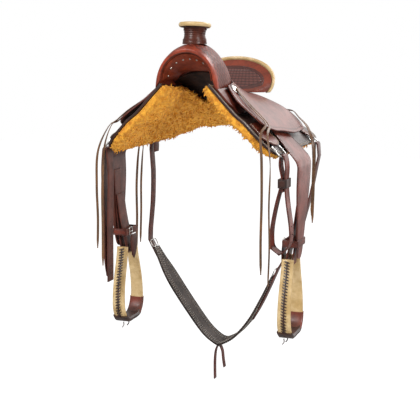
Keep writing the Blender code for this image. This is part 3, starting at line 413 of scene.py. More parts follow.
FLAT = ((1, 0.35), (0.82, 1), (-0.82, 1), (-1, 0.35), (-1, -0.35), (-0.82, -1), (0.82, -1), (1, -0.35))
ROUND = tuple((cos(tau * k / 10), sin(tau * k / 10)) for k in range(10))


def sweep(name, line, across, half, thick, section=FLAT, turn=None, size=None):
    """Carry a cross-section along a line. across is where its width points at the start."""
    rings = []
    last = len(line) - 1
    for j, here in enumerate(line):
        ahead = (line[min(j + 1, last)] - line[max(j - 1, 0)]).normalized()
        across = (across - ahead * across.dot(ahead)).normalized()
        up = across.cross(ahead)
        a = turn(j / last) if turn else 0.0
        grow = size(j / last) if size else 1.0
        side = across * cos(a) + up * sin(a)
        top = up * cos(a) - across * sin(a)
        rings.append([here + side * (x * half * grow) + top * (y * thick) for x, y in section])
    return skin(name, rings)


def copies(name, model, places):
    """One mesh of a small model repeated at places, each a middle, a way ahead, a way up and a size."""
    verts = []
    faces = []
    for spot, ahead, up, size in places:
        across = up.cross(ahead).normalized()
        up = ahead.cross(across).normalized()
        base = len(verts)
        verts += [spot + (ahead * p[0] + across * p[1] + up * p[2]) * size for p in model[0]]
        faces += [[base + k for k in face] for face in model[1]]
    return mesh_object(name, verts, faces)


STITCH_RINGS = ((-0.5, -0.5, 0.35), (-0.28, 0.25, 0.9), (0, 0.4, 1.0), (0.28, 0.25, 0.9), (0.5, -0.5, 0.35))
LOCK_RINGS = ((0, 0, 0.0036), (0.003, 0.0006, 0.0040), (0.006, 0.0024, 0.0028), (0.0072, 0.0050, 0.0012))
CORNERS = 5


def stitch_model(length, wide, high):
    """A single stitch: a short bar that dips at both ends."""
    verts = []
    for along, lift, grow in STITCH_RINGS:
        for turn in range(CORNERS):
            a = tau * turn / CORNERS
            verts.append(Vector((along * length, cos(a) * wide / 2 * grow,
                                 lift * high + sin(a) * high / 2 * grow)))
    return verts, ring_faces(len(STITCH_RINGS), CORNERS)


def lock_model():
    """One curl of wool."""
    verts = []
    for k, (rise, lean, wide) in enumerate(LOCK_RINGS):
        for turn in range(CORNERS):
            a = tau * turn / CORNERS + k * 0.5
            verts.append(Vector((lean + cos(a) * wide / 2, sin(a) * wide / 2, rise)))
    return verts, ring_faces(len(LOCK_RINGS), CORNERS)


STITCH_LIFT = 0.0002


def sew(obj, inset, finish, label="stitches", wide=0.0014, pitch=None, way=1):
    """A row of stitches set in from the border, on the grain side or, with way -1, on the flesh side."""
    node = obj.name.removesuffix("_dressed")
    surface = tree_of(obj)
    pitch = pitch or sizes().stitch
    places = []
    for spot, ahead in spaced(BORDERS[obj.name][way], pitch):
        away = outward(spot) * way
        hit, normal, _, _ = surface.find_nearest(spot + away.cross(ahead).normalized() * inset)
        if normal.dot(away) > 0.1:
            places.append((hit + normal * STITCH_LIFT, ahead, normal, 1.0))
    if not places:
        raise RuntimeError("no border found on " + obj.name)
    model = stitch_model(pitch * 0.72, wide, wide * 0.8)
    finish_piece(copies("%s_%s" % (node, label), model, places), finish, BODY[node])


def plate_seat(node):
    """Middle of a plate's flat back, and the way its front faces."""
    found = {}
    for face in frame["nodes"][node].data.polygons:
        entry = found.setdefault(tuple(round(c, 1) for c in face.normal), [0.0, Vector(), Vector()])
        entry[0] += face.area
        entry[1] += face.normal * face.area
        entry[2] += face.center * face.area
    area, normal, spot = max(found.values(), key=lambda e: e[0])
    return spot / area, -normal.normalized()


def set_down(obj, spot, up):
    """Move a mesh modelled at the origin, its top facing z, to its place."""
    ahead = backwards(up)
    obj.data.transform(Matrix((ahead.cross(up), ahead, up)).transposed().to_4x4())
    obj.data.transform(Matrix.Translation(spot))


def raise_rings(obj, steps):
    """Inset the top face again and again, moving it up or down each time."""
    with editing(obj):
        bpy.ops.mesh.select_all(action="DESELECT")
        bpy.ops.mesh.select_mode(type="FACE")
        work = bmesh.from_edit_mesh(obj.data)
        work.normal_update()
        for face in work.faces:
            face.select = face.normal.z > 0.9
        work.select_flush_mode()
        bmesh.update_edit_mesh(obj.data)
        for inward, rise in steps:
            bpy.ops.mesh.inset(thickness=inward)
            bpy.ops.transform.translate(value=(0, 0, rise))


# Materials

class Tree:
    """Short hand for wiring shader nodes."""

    def __init__(self, tree):
        self.tree = tree

    def add(self, kind, **settings):
        node = self.tree.nodes.new(kind)
        for key, value in settings.items():
            setattr(node, key, value)
        return node

    def link(self, source, target):
        self.tree.links.new(source, target)

    def put(self, socket, value):
        if isinstance(value, bpy.types.NodeSocket):
            self.link(value, socket)
        else:
            socket.default_value = value

    def math(self, operation, a, b=0.0, c=0.0, clamp=False):
        node = self.add("ShaderNodeMath", operation=operation, use_clamp=clamp)
        for socket, value in zip(node.inputs, (a, b, c)):
            self.put(socket, value)
        return node.outputs[0]

    def times(self, a, b, clamp=False):
        return self.math("MULTIPLY", a, b, clamp=clamp)

    def plus(self, a, b):
        return self.math("ADD", a, b)

    def minus(self, a, b):
        return self.math("SUBTRACT", a, b)

    def ribs(self, value, turn):
        """Rounded ribs side by side: the size of a sine wave."""
        return self.math("ABSOLUTE", self.math("SINE", self.times(value, turn)))

    def ramp(self, value, low, high, start=0.0, end=1.0):
        node = self.add("ShaderNodeMapRange", interpolation_type="SMOOTHSTEP")
        for socket, reading in zip(node.inputs, (value, low, high, start, end)):
            self.put(socket, reading)
        return node.outputs[0]

    def tint(self, share, a, b):
        node = self.add("ShaderNodeMix", data_type="RGBA")
        self.put(node.inputs[0], share)
        for socket, value in ((node.inputs[6], a), (node.inputs[7], b)):
            self.put(socket, value if isinstance(value, bpy.types.NodeSocket) else (*value, 1))
        return node.outputs[2]

    def noise(self, where, scale, detail=3.0, rough=0.55):
        node = self.add("ShaderNodeTexNoise")
        self.put(node.inputs["Vector"], where)
        node.inputs["Scale"].default_value = scale
        node.inputs["Detail"].default_value = detail
        node.inputs["Roughness"].default_value = rough
        return node.outputs["Fac"]

    def parts(self, vector):
        node = self.add("ShaderNodeSeparateXYZ")
        self.link(vector, node.inputs[0])
        return node.outputs

    def mark(self, name):
        return self.add("ShaderNodeAttribute", attribute_name=name).outputs["Fac"]

    def place(self):
        return self.add("ShaderNodeTexCoord").outputs["Object"]

    def layout(self):
        return self.add("ShaderNodeUVMap", uv_map="lay").outputs[0]

    def use(self, name, **values):
        """Place a node group and fill its inputs."""
        node = self.add("ShaderNodeGroup", node_tree=bpy.data.node_groups[name])
        for label, value in values.items():
            self.put(node.inputs[label], value)
        return node.outputs


class Finish(Tree):
    """A material with one Principled shader, whose even sockets are set by name."""

    def __init__(self, name, colour, rough, **even):
        made = bpy.data.materials.new("fine_" + name)
        made.use_nodes = True
        made.diffuse_color = (*colour, 1)
        super().__init__(made.node_tree)
        self.shader = made.node_tree.nodes["Principled BSDF"]
        for label, value in {"Roughness": rough, **even}.items():
            self.shader.inputs[label.replace("_", " ")].default_value = value

    def show(self, tone, height, depth, reach=0.001, gloss=None):
        """Wire the tone, the bump and, where it changes over the surface, the roughness."""
        bump = self.add("ShaderNodeBump")
        bump.inputs["Strength"].default_value = depth
        bump.inputs["Distance"].default_value = reach
        self.link(height, bump.inputs["Height"])
        self.link(bump.outputs[0], self.shader.inputs["Normal"])
        self.link(tone, self.shader.inputs["Base Color"])
        if gloss:
            self.link(gloss, self.shader.inputs["Roughness"])


def group(name, inputs, outputs):
    """The tree of a new node group with named sockets, what it is given and what it puts out."""
    made = bpy.data.node_groups.new(name, "ShaderNodeTree")
    for way, labels in (("INPUT", inputs), ("OUTPUT", outputs)):
        for label in labels:
            kind = "NodeSocketVector" if label in ("Place", "Lay") else "NodeSocketFloat"
            made.interface.new_socket(label, in_out=way, socket_type=kind)
    tree = Tree(made)
    return tree, tree.add("NodeGroupInput").outputs, tree.add("NodeGroupOutput").inputs


def make_grain_group():
    """Pores, creases and the uneven tone of oiled leather."""
    t, given, out = group("hide_grain", ("Place", "Pore"), ("Height", "Tone"))
    cells = t.add("ShaderNodeTexVoronoi", feature="SMOOTH_F1")
    t.link(given["Place"], cells.inputs["Vector"])
    t.link(t.math("DIVIDE", 1.0, given["Pore"]), cells.inputs["Scale"])
    pores = t.minus(1.0, cells.outputs["Distance"])
    creases = t.noise(given["Place"], 90.0, 4.0, 0.6)
    t.link(t.math("MULTIPLY_ADD", creases, 0.7, t.times(pores, 0.45)), out["Height"])
    broad = t.noise(given["Place"], 16.0, 3.0, 0.6)
    fine = t.noise(given["Place"], 130.0, 2.0, 0.6)
    t.link(t.ramp(t.math("MULTIPLY_ADD", broad, 0.75, t.times(fine, 0.25)), 0.30, 0.70), out["Tone"])


def make_basket_group():
    """A basket stamp: crossed panels of three ribs, laid on the slant."""
    t, given, out = group("basket_stamp", ("Lay", "Cell"), ("Height",))
    parts = t.parts(given["Lay"])
    u = t.math("DIVIDE", parts[0], given["Cell"])
    v = t.math("DIVIDE", parts[1], given["Cell"])
    slant = cos(pi / 4)
    a = t.times(t.plus(u, v), slant)
    b = t.times(t.minus(v, u), slant)
    odd = t.math("FLOORED_MODULO", t.plus(t.math("FLOOR", a), t.math("FLOOR", b)), 2.0)
    even = t.minus(1.0, odd)
    fa = t.math("FRACT", a)
    fb = t.math("FRACT", b)
    run = t.plus(t.times(fa, odd), t.times(fb, even))
    rib = t.plus(t.times(fb, odd), t.times(fa, even))
    crown = t.math("POWER", t.math("SINE", t.times(run, pi)), 0.8)
    t.link(t.times(crown, t.math("MULTIPLY_ADD", t.ribs(rib, 3 * pi), 0.5, 0.5)), out["Height"])


def make_line_group():
    """A creased line pressed at a distance from the edge."""
    t, given, out = group("creased_line", ("Edge", "At", "Width"), ("Line",))
    off = t.math("ABSOLUTE", t.minus(given["Edge"], given["At"]))
    t.link(t.ramp(t.math("DIVIDE", off, given["Width"]), 0.3, 1.0, 1.0, 0.0), out["Line"])


PORE = 0.0016


def toned(colour, *by):
    """The colour with its channels multiplied, all by one number or each by its own."""
    return [min(1.0, c * k) for c, k in zip(colour, by * 3 if len(by) == 1 else by)]


def leather(name, colour, rough, lines=(), stamped=False, flesh=True, edges=True, coat=0.45):
    """Oiled leather, with lines creased at these distances from the edge."""
    f = Finish(name, colour, rough, Coat_Weight=coat, Coat_Roughness=0.30,
               Specular_IOR_Level=0.5 if coat > 0.2 else 0.2)
    hide = f.use("hide_grain", Place=f.place(), Pore=PORE)
    tone = f.tint(hide["Tone"], toned(colour, 0.52), toned(colour, 1.35, 1.28, 1.2))
    height = f.times(hide["Height"], 0.45)
    if stamped:
        basket = f.use("basket_stamp", Lay=f.layout(), Cell=sizes().basket)["Height"]
        share = f.mark("stamp")
        height = f.plus(height, f.times(basket, f.times(share, 1.6)))
        cut = f.times(f.minus(1.0, basket), f.times(share, 1.3), clamp=True)
        tone = f.tint(cut, tone, toned(colour, 0.12))
    for at in lines:
        line = f.use("creased_line", Edge=f.mark("edge"), At=at, Width=0.0013)["Line"]
        height = f.minus(height, line)
        tone = f.tint(f.times(line, 0.8), tone, toned(colour, 0.22))
    gloss = f.ramp(hide["Tone"], 0.0, 1.0, rough + 0.10, rough - 0.04)
    if edges:
        burnt = f.ramp(f.mark("edge"), 0.0005, 0.0032, 1.0, 0.0)
        tone = f.tint(f.times(burnt, 0.7), tone, toned(colour, 0.35))
    if flesh:
        under = f.ramp(f.mark("side"), 0.2, 0.45, 1.0, 0.0)
        nap = f.tint(hide["Tone"], (0.050, 0.013, 0.008), (0.140, 0.035, 0.020))
        tone = f.tint(under, tone, nap)
        gloss = f.math("MULTIPLY_ADD", under, 0.35, gloss)
    f.show(tone, height, depth=0.55, gloss=gloss)


def panel_leather(name, colour):
    """The cantle's face: smooth leather round a dark panel of stamped rows."""
    f = Finish(name, colour, 0.36, Coat_Weight=0.05, Coat_Roughness=0.22)
    hide = f.use("hide_grain", Place=f.place(), Pore=PORE)
    tone = f.tint(hide["Tone"], toned(colour, 0.62), toned(colour, 1.5, 1.4, 1.3))
    inside = f.mark("panel")
    parts = f.parts(f.layout())
    rows = f.ribs(parts[1], pi / 0.0088)
    bricks = f.ribs(parts[0], pi / 0.0120)
    basket = f.times(rows, f.math("POWER", bricks, 0.35))
    field = f.ramp(inside, 0.0085, 0.0100)
    band = f.times(f.ramp(inside, 0.0, 0.0012), f.minus(1.0, field))
    tone = f.tint(f.times(field, 0.86), tone, f.tint(basket, (0.008, 0.004, 0.005), (0.130, 0.050, 0.042)))
    tone = f.tint(f.times(band, 0.72), tone, (0.030, 0.012, 0.012))
    pair = [f.use("creased_line", Edge=inside, At=at, Width=0.0014)["Line"] for at in (0.0, 0.0088)]
    lines = f.math("MAXIMUM", *pair)
    tone = f.tint(f.times(lines, 0.85), tone, (0.010, 0.005, 0.005))
    height = f.math("MULTIPLY_ADD", hide["Height"], 0.4, f.times(f.times(basket, field), 1.6))
    f.show(tone, f.minus(height, lines), depth=0.6, gloss=f.math("MULTIPLY_ADD", field, 0.12, 0.34))


def rawhide(name, colour):
    """Dried rawhide: creamy, with darker veins and an uneven sheen."""
    f = Finish(name, colour, 0.38, Coat_Weight=0.18, Coat_Roughness=0.25)
    where = f.place()
    broad = f.ramp(f.noise(where, 26.0, 4.0, 0.62), 0.32, 0.68)
    veins = f.ramp(f.noise(where, 210.0, 3.0, 0.6), 0.55, 0.78)
    tone = f.tint(broad, toned(colour, 0.82, 0.74, 0.58), toned(colour, 1.12, 1.14, 1.2))
    tone = f.tint(f.times(veins, 0.35), tone, toned(colour, 0.55))
    f.show(tone, f.plus(f.noise(where, 300.0, 3.0), f.times(broad, 0.8)), depth=0.35,
           gloss=f.ramp(broad, 0.0, 1.0, 0.50, 0.34))


def fleece(name, colour):
    """Golden wool, with painted shade between its locks and lighter lock tops."""
    f = Finish(name, colour, 0.92, Sheen_Weight=0.15, Sheen_Tint=(1.0, 0.75, 0.30, 1))
    where = f.place()
    locks = f.ramp(f.noise(where, 75.0, 5.0, 0.65), 0.30, 0.72)
    broad = f.ramp(f.noise(where, 14.0, 3.0, 0.6), 0.30, 0.75)
    # Partly painted shade: the hollows of the lock bump are darker and the lock tops lighter
    tone = f.tint(locks, toned(colour, 0.62, 0.44, 0.25), toned(colour, 1.12, 1.18, 1.35))
    tone = f.tint(f.times(broad, 0.35), tone, toned(colour, 1.1, 1.15, 1.3))
    f.show(tone, f.plus(locks, f.noise(where, 420.0, 2.0)), depth=0.9, reach=0.002)


def polished(name, colour, rough=0.20):
    """Nickel plate with faint wear."""
    f = Finish(name, colour, rough, Metallic=1.0)
    wear = f.ramp(f.noise(f.place(), 160.0, 3.0), 0.35, 0.75)
    f.show(f.tint(wear, toned(colour, 0.70), colour), wear, depth=0.08, reach=0.0003,
           gloss=f.ramp(wear, 0.0, 1.0, rough + 0.14, rough))


def thread(name, colour):
    """Waxed sewing thread."""
    f = Finish(name, colour, 0.6)
    fleck = f.ramp(f.noise(f.place(), 900.0, 2.0), 0.3, 0.7)
    f.show(f.tint(fleck, toned(colour, 0.72), colour), fleck, depth=0.3, reach=0.0003)


# Wool

VOXEL = 0.0042
USUAL_PILE = 0.011
# At that pile, how far the tufts, the curls and the whole skin rise, and how far its flat side is pressed in
TUFTS = 0.0048
CURLS = 0.0022
RISE = 0.0008
PRESSED = 0.0012
LOCK_SHARE = 0.05
LOCK_ROOT = 0.0012


def grow_wool(node, side, chance):
    """A thick pile pushed out from the skin, with locks all over it."""
    obj = cast_of(node, node + "_pile")
    apply_modifier(obj, "REMESH", mode="VOXEL", voxel_size=VOXEL)
    grow = sizes().pile / USUAL_PILE
    deep = Vector((-0.73 * side, 0, -0.68))
    ways = [v.normal.copy() for v in obj.data.vertices]
    for v, way in zip(obj.data.vertices, ways):
        n = noise.fractal(v.co * 55, 0.8, 2.2, 4)
        m = noise.fractal(v.co * 160 + Vector((5, 3, 1)), 0.7, 2.1, 3)
        reach = (TUFTS * n + CURLS * m + RISE) * grow
        v.co += way * (reach if way.dot(deep) > -0.5 else -PRESSED)
    finish_piece(obj, "fleece", BODY[node], (node,), angle=radians(60))
    locks = []
    for face in obj.data.polygons:
        if face.normal.dot(deep) < -0.5 or chance.random() > LOCK_SHARE:
            continue
        droop = Vector((chance.uniform(-1, 1), chance.uniform(-1, 1), chance.uniform(-1.3, 0.3)))
        up = (face.normal + droop * 0.75).normalized()
        locks.append((face.center - face.normal * LOCK_ROOT, up.orthogonal().normalized(), up,
                      chance.uniform(0.6, 1.35) * grow))
    finish_piece(copies(node + "_locks", lock_model(), locks), "fleece", BODY[node])


# Studs and horn

STUD_RADIUS = 0.0042
STUD_BASE = 0.0004
STUD_SUNK = 0.0006
GULLET_MIDDLE = Vector((0, -0.213, 0.050))


def set_studs():
    """Bright domed studs round the inside of the gullet's mouth."""
    drop_selection()
    bpy.ops.mesh.primitive_uv_sphere_add(segments=14, ring_count=8, radius=STUD_RADIUS, location=(0, 0, 0))
    model = bpy.context.object
    with editing(model):
        bpy.ops.mesh.bisect(plane_co=(0, 0, STUD_BASE), plane_no=(0, 0, 1), clear_inner=True, use_fill=True)
        bpy.ops.mesh.select_all(action="SELECT")
        bpy.ops.transform.resize(value=(1, 1, 0.75))
    liner = tree_of(frame["nodes"]["gullet_liner"])
    count = sizes().studs
    for k in range(count):
        a = radians(172 - 164 * k / max(1, count - 1))
        hit, normal, _, _ = liner.ray_cast(GULLET_MIDDLE, Vector((cos(a), 0, sin(a))))
        if normal.dot(GULLET_MIDDLE - hit) < 0:
            normal = -normal
        stud = new_object("gullet_stud_%d" % (k + 1), model.data.copy())
        set_down(stud, hit - normal * STUD_SUNK, normal)
        finish_piece(stud, "nickel", SADDLE)
    bpy.data.objects.remove(model)


HORN_TOP = Vector((0, -0.16697, 0.2235))
HORN_WAY = Vector((0, 0.10453, 0.99452))
NECK_LOW = 0.0560
NECK_RISE = 0.0400
NECK_LIFT = 0.0004
TURN_STEPS = 36


def wind_neck():
    """Leather wound round the horn's neck, each turn lapping the one below."""
    surface = tree_of(frame["nodes"]["horn_wrap"])
    count = sizes().turns
    line = []
    steps = count * TURN_STEPS
    for j in range(steps + 1):
        a = tau * count * j / steps
        out = ACROSS * cos(a) + ACROSS.cross(HORN_WAY) * sin(a)
        axis = HORN_TOP - HORN_WAY * (NECK_LOW - NECK_RISE * j / steps)
        hit, _, _, _ = surface.ray_cast(axis + out * PROBE, -out)
        line.append(hit + out * NECK_LIFT)
    turns = sweep("horn_neck_turns", line, HORN_WAY, half=0.0036, thick=0.0010)
    finish_plain(turns, "wrap_leather", BODY["horn_wrap"])


# Straps

HOLE_RADIUS = 0.0021
HOLE_CORNERS = 12


def lay_tongue(node, along, out, half):
    """The tongue of a buckle, resting across its frame."""
    verts = frame["nodes"][node].data.vertices
    middle = sum((v.co for v in verts), Vector()) / len(verts)
    line = ease_line([middle - along * half, middle + out * 0.0022, middle + along * half * 1.12], 0.003)
    tongue = sweep(node + "_tongue", line, along.cross(out), half=0.0016, thick=0.0012, section=ROUND)
    finish_piece(tongue, "nickel", BODY[node])


def punch(node, start, way, step, count):
    """Holes punched in a row through a strap, seen on both sides, each drawn as a closed dark disc: painted
    shade in the hole.
    """
    surface = tree_of(frame["nodes"][node])
    turns = [tau * j / HOLE_CORNERS for j in range(HOLE_CORNERS)]
    for k in range(count):
        for letter, face in (("a", 1), ("b", -1)):
            hit, normal, _, _ = surface.ray_cast(start + step * k - way * PROBE * face, way * face)
            if hit is None:
                continue
            side = normal.orthogonal().normalized() * HOLE_RADIUS
            ahead = normal.cross(side)
            rings = [[hit + normal * lift + side * cos(a) + ahead * sin(a) for a in turns]
                     for lift in (-0.0008, 0.0003)]
            # The dark disc is painted shade, standing in for the hole's depth
            finish_piece(skin("%s_hole_%d%s" % (node, k + 1, letter), rings), "dark_hide", BODY[node])


LOBE = ((-0.020, 0.0), (-0.027, -0.024), (-0.025, -0.050), (-0.013, -0.074), (0.0, -0.086),
        (0.013, -0.074), (0.025, -0.050), (0.027, -0.024), (0.020, 0.0))
LOBE_FACES = (0.2672, 0.2694)
LOBE_TOP = (-0.060, -0.488)


def hang_lobe(word, side):
    """A leaf of leather that hangs beside the stirrup's neck, on the horse's side."""
    rings = [[Vector((side * x, LOBE_TOP[0] + y, LOBE_TOP[1] + z)) for y, z in LOBE] for x in LOBE_FACES]
    lobe = skin(word + "_neck_lobe", rings)
    ease_edges(lobe, 0.0006)
    finish_plain(lobe, "wrap_leather", BODY[word + "_fender"])


# Stirrups

# The stirrup's front edge from its neck down round the toe, as distance back and height
STIRRUP_FRONT = (
    (-0.0985, -0.528), (-0.1021, -0.5506), (-0.1065, -0.573), (-0.1174, -0.608), (-0.128, -0.643),
    (-0.1332, -0.6703), (-0.136, -0.698), (-0.1366, -0.7214), (-0.134, -0.7445), (-0.12, -0.7715),
    (-0.098, -0.7835), (-0.06, -0.7845), (-0.024, -0.7838))
TREAD_END = (-0.008, -0.7770)
STIRRUP_X = 0.293
LACED = (-0.772, -0.535)
TOE_TOP = -0.764
WRAP_TOP = (0, 0.004, -0.732)
WRAP_WAY = (0, -0.19, 0.98)
SEAM_HALF = 0.0092
# Length, width and height of one lace and of one scallop beside the seam
LACE = (0.0205, 0.0058, 0.0018)
SCALLOP = (0.0058, 0.0036, 0.0014)


def seam_places(side):
    """Places down the laced seam, with the way ahead and the way out at each."""
    middle = ease_line([(side * STIRRUP_X, y, z) for y, z in STIRRUP_FRONT], sizes().lace)
    places = []
    for before, here, after in zip(middle, middle[1:], middle[2:]):
        ahead = (after - before).normalized()
        out = ahead.cross(ACROSS).normalized()
        if out.y > 0 and abs(out.y) > abs(out.z) or out.z > 0.7:
            out = -out
        places.append((here + out * 0.0058, ahead, out))
    return [e for e in places if LACED[0] < e[0].z < LACED[1]]


def lace_seam(word, side, body):
    """Slanted laces over a flat core, between two rows of small scallops."""
    seam = seam_places(side)
    bars = [(p + out * 0.0012, (ACROSS + ahead * 0.30 * side).normalized(), out, 1.0)
            for p, ahead, out in seam]
    finish_plain(copies(word + "_lacing", stitch_model(*LACE), bars), "lace_leather", body)
    core = sweep(word + "_lacing_core", [e[0] for e in seam], ACROSS, half=0.0022, thick=0.0007)
    finish_plain(core, "lace_leather", body)
    nicks = [(p + ACROSS * edge * SEAM_HALF - out * 0.0002, ahead, out, 1.0)
             for p, ahead, out in seam for edge in (-1, 1)]
    finish_piece(copies(word + "_seam_scallops", stitch_model(*SCALLOP), nicks), "rawhide", body)


def wrap_toe(word, side, body):
    """Dark leather round the toe, and the two lace ends under it."""
    toe = ease_line([(side * STIRRUP_X, y, z) for y, z in (*STIRRUP_FRONT, TREAD_END)], 0.003)
    low = [p for p in toe if p.z < TOE_TOP]
    band = sweep(word + "_tread_front", low, ACROSS, half=0.0262, thick=0.0080)
    finish_plain(band, "lace_leather", body)
    for k, (y, reach) in enumerate(((-0.112, 0.018), (-0.070, 0.022))):
        start = Vector((side * (STIRRUP_X - 0.006), y, -0.790))
        tail = ease_line([start, start + Vector((0.002, -0.004, -0.6 * reach)),
                          start + Vector((-0.003, -0.009, -reach))], 0.003)
        end = sweep("%s_lace_end_%d" % (word, k + 1), tail, ACROSS, half=0.0018, thick=0.0009)
        finish_plain(end, "lace_leather", body)


# Conchos

CONCHO_RADIUS = 0.0195
ROSETTE_RADIUS = 0.0235
SLOT_PLACE = 0.0052
PLATE_LIFT = 0.0004
ROSETTE_DROP = 0.0008
# How far each ring of the plate lies inside the last, and how far it rises
CONCHO_RINGS = ((0.0016, 0.0008), (0.0012, -0.0007), (0.0010, 0.0), (0.0030, 0.0011), (0.0040, 0.0008),
                (0.0035, 0.0003))


def model_plate():
    """A domed plate with a beaded rim and two slots for the strings."""
    drop_selection()
    bpy.ops.mesh.primitive_cylinder_add(vertices=44, radius=CONCHO_RADIUS, depth=0.0022,
                                        location=(0, 0, 0.0011))
    plate = bpy.context.object
    raise_rings(plate, CONCHO_RINGS)
    for place in (-SLOT_PLACE, SLOT_PLACE):
        bpy.ops.mesh.primitive_cube_add(size=1, location=(0, place, 0.002), scale=(0.0105, 0.0024, 0.012))
        cutter = bpy.context.object
        bpy.ops.object.transform_apply(location=True, rotation=True, scale=True)
        apply_modifier(plate, "BOOLEAN", operation="DIFFERENCE", solver="EXACT", object=cutter)
        bpy.data.objects.remove(cutter)
    ease_edges(plate, 0.0004)
    return plate


def model_rosette():
    """A round of leather with a scalloped edge."""
    drop_selection()
    bpy.ops.mesh.primitive_circle_add(vertices=64, radius=ROSETTE_RADIUS, fill_type="NGON",
                                      location=(0, 0, 0))
    rosette = bpy.context.object
    with editing(rosette):
        bpy.ops.mesh.extrude_region_move(TRANSFORM_OT_translate={"value": (0, 0, 0.0018)})
    for v in rosette.data.vertices:
        v.co *= 1 + 0.045 * cos(atan2(v.co.y, v.co.x) * 16)
    seal(rosette)
    ease_edges(rosette, 0.0005)
    return rosette


def tie_knot(name, spot, up, petals, reach, body):
    """Loops of string drawn through a concho's slots."""
    ahead = backwards(up)
    side = up.cross(ahead)
    for k in range(petals):
        a = tau * k / petals + 0.35
        way = ahead * cos(a) + side * sin(a)
        line = ease_line([spot + up * 0.0036 + way * 0.0006, spot + up * 0.0085 + way * reach * 0.40,
                          spot + up * 0.0072 + way * reach * 0.85, spot + up * 0.0048 + way * reach,
                          spot + up * 0.0034 + way * reach * 0.62], 0.0022)
        loop = sweep("%s_%d" % (name, k + 1), line, up.cross(way), half=0.0030, thick=0.0009)
        finish_plain(loop, "string_leather", body)


# Strings

STRING_HALF = 0.0042
STRING_THICK = 0.0012
# How far a leg's first two points lie from the concho's middle line
SLOT_HALF = 0.0044
SLOT_SPREAD = 0.0018
# The way across the slots of the near conchos
SLOT_WAYS = {"front": (0.0123, 0.0699, -0.0132), "rear": (0.0057, 0.0301, -0.0115)}
# The points where both sides' legs run alike, from the slots over the jockey, on the near side
LEADS = {
    "front": (((0.1352, -0.15, 0.0217), (0.1469, -0.1584, 0.0092), (0.1753, -0.178, -0.0188)),
              ((0.1352, -0.15, 0.0217), (0.1478, -0.1547, 0.0082), (0.1856, -0.168, -0.0269))),
    "rear": (((0.1655, 0.2162, -0.0568), (0.1817, 0.207, -0.0605), (0.1926, 0.199, -0.0665),
              (0.2276, 0.18, -0.0704), (0.2524, 0.16, -0.0892), (0.292, 0.135, -0.125)),
             ((0.1655, 0.2162, -0.0568), (0.183, 0.2109, -0.0622), (0.1943, 0.206, -0.0692),
              (0.2273, 0.183, -0.0713), (0.2503, 0.168, -0.0883))),
}
# The points down which each leg goes on, with the distance to its own side first
FALLS = {
    "near_front": (
        ((0.2198, -0.205, -0.0524), (0.251, -0.218, -0.0821), (0.25, -0.268, -0.11), (0.256, -0.276, -0.19),
         (0.257, -0.275, -0.31), (0.254, -0.272, -0.44), (0.256, -0.274, -0.543)),
        ((0.2276, -0.188, -0.0588), (0.2565, -0.2, -0.0879), (0.27, -0.262, -0.11), (0.284, -0.278, -0.2),
         (0.28, -0.274, -0.33), (0.283, -0.276, -0.46), (0.279, -0.274, -0.578))),
    "off_front": (
        ((0.2198, -0.2, -0.0524), (0.251, -0.214, -0.0821), (0.252, -0.262, -0.1), (0.273, -0.27, -0.17),
         (0.281, -0.272, -0.3), (0.283, -0.27, -0.43), (0.284, -0.272, -0.556)),
        ((0.2276, -0.186, -0.0588), (0.2565, -0.196, -0.0879), (0.266, -0.246, -0.1), (0.297, -0.266, -0.18),
         (0.303, -0.268, -0.29), (0.302, -0.266, -0.4), (0.304, -0.268, -0.5))),
    "near_rear": (
        ((0.314, 0.125, -0.19), (0.316, 0.121, -0.3), (0.313, 0.121, -0.42)),
        ((0.29, 0.155, -0.125), (0.312, 0.15, -0.19), (0.313, 0.146, -0.31), (0.31, 0.146, -0.45))),
    "off_rear": (
        ((0.322, 0.124, -0.19), (0.335, 0.12, -0.33), (0.336, 0.121, -0.47), (0.34, 0.12, -0.6)),
        ((0.29, 0.152, -0.125), (0.314, 0.142, -0.19), (0.324, 0.136, -0.32), (0.325, 0.134, -0.44),
         (0.33, 0.136, -0.56))),
}


def hang_string(node, k, across, points, bend):
    """One flat leg of a string: it leaves its slot, lies over the jockey, turns edge on and hangs."""
    way = 1 if k else -1
    points[0] += across * (SLOT_HALF * way)
    points[1] += across * (SLOT_SPREAD * way)
    line = ease_line(points, 0.006)
    leg = sweep("%s_%d" % (node, k + 1), line, across, STRING_HALF, STRING_THICK,
                turn=lambda share: bend * smooth((share - 0.30) / 0.3) * way,
                size=lambda share: 1.0 - 0.55 * smooth((share - 0.95) / 0.05))
    finish_plain(leg, "string_leather", BODY[node], (node,))
    tuple(line[0])
    length_of(line)
    [tuple(p) for p in line]


# Stage

EYE = Vector((1.168, -3.239, 0.208))
AIM = Vector((-0.0105, 0, -0.400))
LAMP_AIM = Vector((0, 0, -0.35))
FLOOR_SIZE = 14
FLOOR_DROP = 0.012
# Each lamp's place, its side and its power
LAMPS = (("key_lamp", (-1.4, -3.0, 2.4), 1.2, 120), ("fill_lamp", (3.0, -2.0, 1.4), 1.2, 75),
         ("back_lamp", (1.6, 2.2, 2.2), 1.2, 80), ("soft_lamp", (1.3, 3.2, 0.5), 3.0, 20))


def light_room():
    """An even room, white to the eye and plain on the saddle."""
    world = bpy.data.worlds.new("pale_room")
    world.use_nodes = True
    bpy.context.scene.world = world
    t = Tree(world.node_tree)
    back = world.node_tree.nodes["Background"]
    path = t.add("ShaderNodeLightPath").outputs
    seen = t.math("MAXIMUM", path["Is Camera Ray"], path["Is Transmission Ray"])
    t.link(t.tint(seen, (0.98, 0.94, 0.92), (1, 1, 1)), back.inputs["Color"])
    shine = t.math("MULTIPLY_ADD", path["Is Glossy Ray"], 0.30, 0.28)
    t.link(t.math("MULTIPLY_ADD", seen, 0.72, shine), back.inputs["Strength"])


